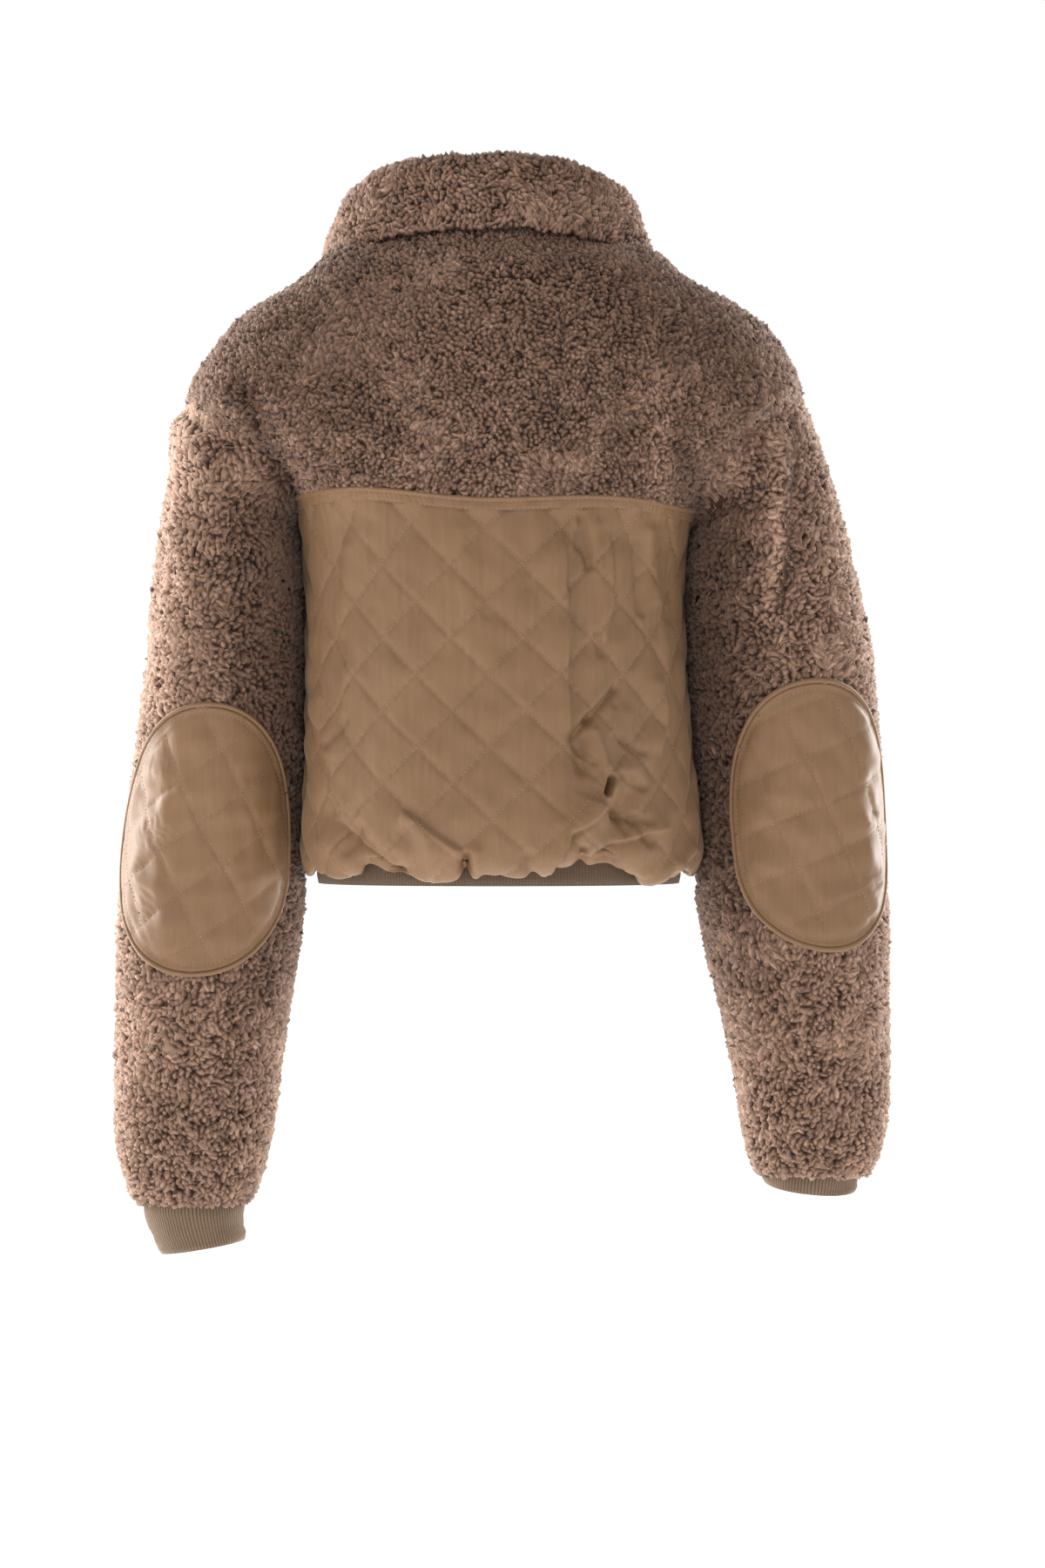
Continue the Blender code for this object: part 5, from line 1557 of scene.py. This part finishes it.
def chain_order(points):
    """Order of points that lie along one nearly straight line."""
    middle = points.mean(axis=0)
    way = points[np.argmax(np.linalg.norm(points - middle, axis=1))] - middle
    return np.argsort((points - middle) @ way)


def build_piping(sleeve):
    """The narrow rolled edge round a patch, as a tube on its line."""
    bearings = full_turn(PIPING_SPOKES)
    margin = (SEAM + PIPING_RADIUS) / sleeve.patch.half_height
    face = []
    for angle in full_turn(PIPING_CORNERS):
        reach = 1 + margin * 1.15 + PIPING_RADIUS * math.cos(angle) / sleeve.patch.half_width
        place, turn = patch_place(sleeve, np.full(bearings.shape, reach), bearings)
        lift = PATCH_CLEAR + SEAM + PIPING_RADIUS * (1.25 + 1.2 * math.sin(angle))
        face.append(on_sleeve(sleeve, place, turn, lift))
    faces = squares(PIPING_CORNERS + 1, PIPING_SPOKES, True) % (PIPING_CORNERS * PIPING_SPOKES)
    node = f"patch_piping_{sleeve.name}"
    new_piece(f"{node}_roll", np.array(face).reshape(-1, 3), [faces[:, ::-1]], SATIN, node)


# ---------------------------------------------------------------- collar

COLLAR_FINE_ROWS = 45
COLLAR_FINE_COLUMNS = 161
COLLAR_TUCK = 0.0042         # how far the fall's lower edge turns in to the yoke at the back
COLLAR_PRESS = 0.0030        # and how far that edge sinks
COLLAR_DROOP = 0.0042        # how far the collar sinks where it lies on the shoulders
COLLAR_REST = 0.105          # how far out that is, and half its width
COLLAR_REST_WIDTH = 0.022
COLLAR_UNEVEN = 0.0007       # how high the cloth's unevenness is


def build_collar():
    stations = np.linspace(0, len(COLLAR) - 1, COLLAR_FINE_ROWS)
    columns = [ease(column, stations) for column in zip(*COLLAR)]
    face = []
    for back_out, back_up, side_out, side_up, front_out, front_up, opening in zip(*columns):
        start = angle_at_front(np.array(float(ROW_NECK)), opening)
        angles = np.linspace(start, ROUND + 2 * FRONT - start, COLLAR_FINE_COLUMNS)
        seam = body_point(ROW_NECK, angles)
        out = unit(seam * np.array([1.0, 1.0, 0.0]))
        back = np.maximum(np.sin(angles), 0) ** 2
        front = np.maximum(-np.sin(angles), 0) ** 2
        sides = 1 - back - front
        reach = back * back_out + sides * side_out + front * front_out
        height = back * back_up + sides * side_up + front * front_up
        face.append(seam + out * reach[:, None] + np.array([0, 0, 1.0]) * height[:, None])
    face = np.array(face)
    shown = -grid_normal(face)
    share = np.linspace(0, 1, COLLAR_FINE_ROWS)[:, None]
    soft = COLLAR_UNEVEN * waves(face, 81, 18, 0.080, 0.025) * climb(share, 0, 0.15)
    face = face + shown * soft[..., None]
    droop = bell(np.abs(face[..., 0]) - COLLAR_REST, COLLAR_REST_WIDTH) * climb(share, 0.2, 0.3)
    face[..., 2] -= COLLAR_DROOP * droop * np.clip(2.2 - 2.2 * share, 0, 1)
    tuck = climb(share, 0.70, 0.30) ** 1.5 * climb(face[..., 1], 0, 0.050)
    face = face - shown * (COLLAR_TUCK * tuck)[..., None]
    face[..., 2] -= COLLAR_PRESS * tuck
    cloth = shell("collar", "cloth", face - shown * BACKING_SINK, face - WALL * shown, BACKING, flip=True)
    pile = grow_pile("collar", face, shown, COLLAR_PILE, 83)


# ---------------------------------------------------------------- zip

TOOTH_PITCH = 0.0026
# A tooth from its nib to its foot: how far across the zip, and half its height
TOOTH = [(-0.0005, 0.00042), (0.00072, 0.00062), (0.0016, 0.00078), (0.0030, 0.00070)]
TOOTH_LOW = 0.0002           # the tooth's back and front faces, from the tape
TOOTH_HIGH = 0.0013
TOOTH_CLEAR = 0.0010         # how far the teeth part above the slider
TEETH_START = 0.004          # how far the row starts and ends from the tape's ends
TEETH_STOP = 0.010


def build_zip_side(name, side):
    """A woven tape, and its row of teeth."""
    heights, depths = zip_line()
    many = np.linspace(0, len(heights) - 1, 161)
    z = ease(heights, many)
    y = ease(depths, many)
    share = np.linspace(0, 1, 13)[None, :]
    x = side * (SEAM / 2 + (TAPE_WIDTH - SEAM / 2) * share)
    bead = 0.0003 * bell(share - 0.06, 0.05) + 0.00012 * np.sin(share * 40) ** 2
    face = np.stack(np.broadcast_arrays(x, y[:, None] - bead, z[:, None]), axis=-1)
    lining = np.stack(np.broadcast_arrays(x, y[:, None] + TAPE_WALL, z[:, None]), axis=-1)
    tape = shell(f"zip_tape_{name}", "woven", face, lining, TAPE, flip=side < 0)
    build_teeth(f"zip_teeth_{name}", side, z, y)


def build_teeth(name, side, heights, depths):
    """One row of teeth: small rounded blocks with a nib, half a pitch off the other row."""
    reach = np.concatenate([[0], np.cumsum(np.hypot(np.diff(heights), np.diff(depths)))])
    first = TEETH_START + (0.25 if side > 0 else 0.75) * TOOTH_PITCH
    at = np.arange(first, reach[-1] - TEETH_STOP, TOOTH_PITCH)
    z = np.interp(at, reach, heights)
    y = np.interp(at, reach, depths)
    rise = np.interp(at + 0.001, reach, heights) - np.interp(at - 0.001, reach, heights)
    deep = np.interp(at + 0.001, reach, depths) - np.interp(at - 0.001, reach, depths)
    none = np.zeros(len(at))
    along = unit(np.stack([none, deep, rise], axis=-1))
    out = np.stack([none, -along[:, 2], along[:, 1]], axis=-1)
    centre = np.stack([none, y, z], axis=-1)
    clear = climb(z, SLIDER_HEIGHT, 0.006) * TOOTH_CLEAR
    points = []
    for across, half in TOOTH:
        sideways = np.stack([side * (across + clear), none, none], axis=-1)
        for up, lift in ((-1, TOOTH_LOW), (1, TOOTH_LOW), (1, TOOTH_HIGH), (-1, TOOTH_HIGH)):
            points.append(centre + along * (up * half) + out * lift + sideways)
    points = np.stack(points, axis=1)
    last = 4 * (len(TOOTH) - 1)
    pattern = [(3, 2, 1, 0), (last, last + 1, last + 2, last + 3)]
    pattern = list(squares(len(TOOTH), 4, True)) + pattern
    faces = repeated(pattern, len(at), points.shape[1])
    if side < 0:
        faces = faces[:, ::-1]
    teeth = new_piece(name, points.reshape(-1, 3), [faces], METAL)
    teeth.data.shade_flat()


def dress_metal():
    for node in ("zip_slider", "zip_pull"):
        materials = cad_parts[node].data.materials
        materials.clear()
        materials.append(METAL.made)


# ---------------------------------------------------------------- floor, light and camera

CAMERA_PLACE = (-0.0198, 3.0, -0.378)
CAMERA_LENS = 96.8
FLOOR_Z = -1.02
FLOOR_REACH = 40.0
FLOOR_STEPS = 64
FLOOR_GLOW = 0.44
NEAR_LIGHT = 0.38            # the room's light behind the camera; it is 1 behind the jacket

# Soft boxes: place, what each looks at, its width and height, its power in watts and its colour
Light = namedtuple("Light", "name place target width height power colour")
LIGHTS = [
    Light("key", (2.7, 1.6, 0.9), (0.0, 0.0, -0.3), 1.0, 1.6, 20.0, (1.0, 0.98, 0.95)),
    Light("front", (0.5, 3.3, 0.9), (0.0, 0.0, -0.35), 1.8, 1.8, 20.0, (1.0, 0.985, 0.96)),
    Light("fill", (-2.1, 2.3, 0.5), (0.0, 0.0, -0.3), 1.4, 2.0, 5.0, (1.0, 0.985, 0.97)),
    Light("rim_left", (2.2, -1.0, 0.1), (0.2, 0.0, -0.35), 0.5, 2.2, 130.0, (0.94, 0.975, 1.0)),
    Light("rim_right", (-1.8, -1.4, 0.1), (-0.2, 0.0, -0.35), 0.6, 2.2, 90.0, (0.94, 0.975, 1.0)),
]


def build_floor():
    """A plain pale floor, wide enough to reach the horizon."""
    mesh = bpy.data.meshes.new("stage_floor")
    ring = [(FLOOR_REACH * math.cos(turn), FLOOR_REACH * math.sin(turn), FLOOR_Z)
            for turn in full_turn(FLOOR_STEPS)]
    mesh.from_pydata(ring, [], [tuple(range(FLOOR_STEPS))])
    look = Look("pale_floor")
    look.set(look.ramp(look.texture(3.0), (0.3, 0.88), (0.7, 0.91)), 0.9)
    look.shader.inputs["Emission Color"].default_value = (1.0, 1.0, 1.0, 1.0)
    look.shader.inputs["Emission Strength"].default_value = FLOOR_GLOW
    mesh.materials.append(look.made)
    floor = bpy.data.objects.new("stage_floor", mesh)
    bpy.context.scene.collection.objects.link(floor)


def build_world():
    """A white studio, brightest behind the jacket."""
    world = bpy.data.worlds.new("studio")
    bpy.context.scene.world = world
    world.use_nodes = True
    tree = Nodes(world.node_tree)
    place = tree.node("ShaderNodeTexCoord").outputs["Generated"]
    split = tree.node("ShaderNodeSeparateXYZ", Vector=place)
    shade = tree.node("ShaderNodeMapRange", Value=split.outputs["Y"])
    shade.interpolation_type = "SMOOTHSTEP"
    for name, value in (("From Min", -0.25), ("From Max", 0.45), ("To Min", 1.0), ("To Max", NEAR_LIGHT)):
        shade.inputs[name].default_value = value
    sky = tree.nodes["Background"]
    tree.plug(sky.inputs["Color"], tree.ramp(shade.outputs[0], (0.0, 0.0), (1.0, 1.0)))
    sky.inputs["Strength"].default_value = 1.0


def build_lights():
    for light in LIGHTS:
        data = bpy.data.lights.new(light.name, "AREA")
        data.shape = "RECTANGLE"
        data.size = light.width
        data.size_y = light.height
        data.energy = light.power
        data.color = light.colour
        lamp = bpy.data.objects.new(light.name, data)
        lamp.location = light.place
        way = Vector(light.target) - Vector(light.place)
        lamp.rotation_euler = way.to_track_quat("-Z", "Y").to_euler()
        bpy.context.scene.collection.objects.link(lamp)


def build_camera():
    data = bpy.data.cameras.new("camera")
    data.lens = CAMERA_LENS
    data.clip_end = 60.0
    camera = bpy.data.objects.new("camera", data)
    camera.location = CAMERA_PLACE
    camera.rotation_euler = (math.pi / 2, 0.0, math.pi)
    bpy.context.scene.collection.objects.link(camera)
    bpy.context.scene.camera = camera
    bpy.context.scene.view_settings.view_transform = "Standard"


# ---------------------------------------------------------------- everything

build_yoke("back_yoke", "back", 129, 11, [(0, 1, 1), (-1, -1, 1)])
build_yoke("front_yoke_left", "left", 65, 21, [(-1, 1, -1)])
build_yoke("front_yoke_right", "right", 65, 31, [(0, -1, -1)])
build_panel("back_panel", "back", 209, 325, 41)
build_panel("front_panel_left", "left", 145, 125, 51)
build_panel("front_panel_right", "right", 145, 125, 61)
build_yoke_band()
build_hem_band()
for build in (build_cuff, build_sleeve, build_patch):
    build(LEFT)
    build(RIGHT)
build_collar()
build_zip_side("left", 1)
build_zip_side("right", -1)
dress_metal()
build_floor()
build_world()
build_lights()
build_camera()
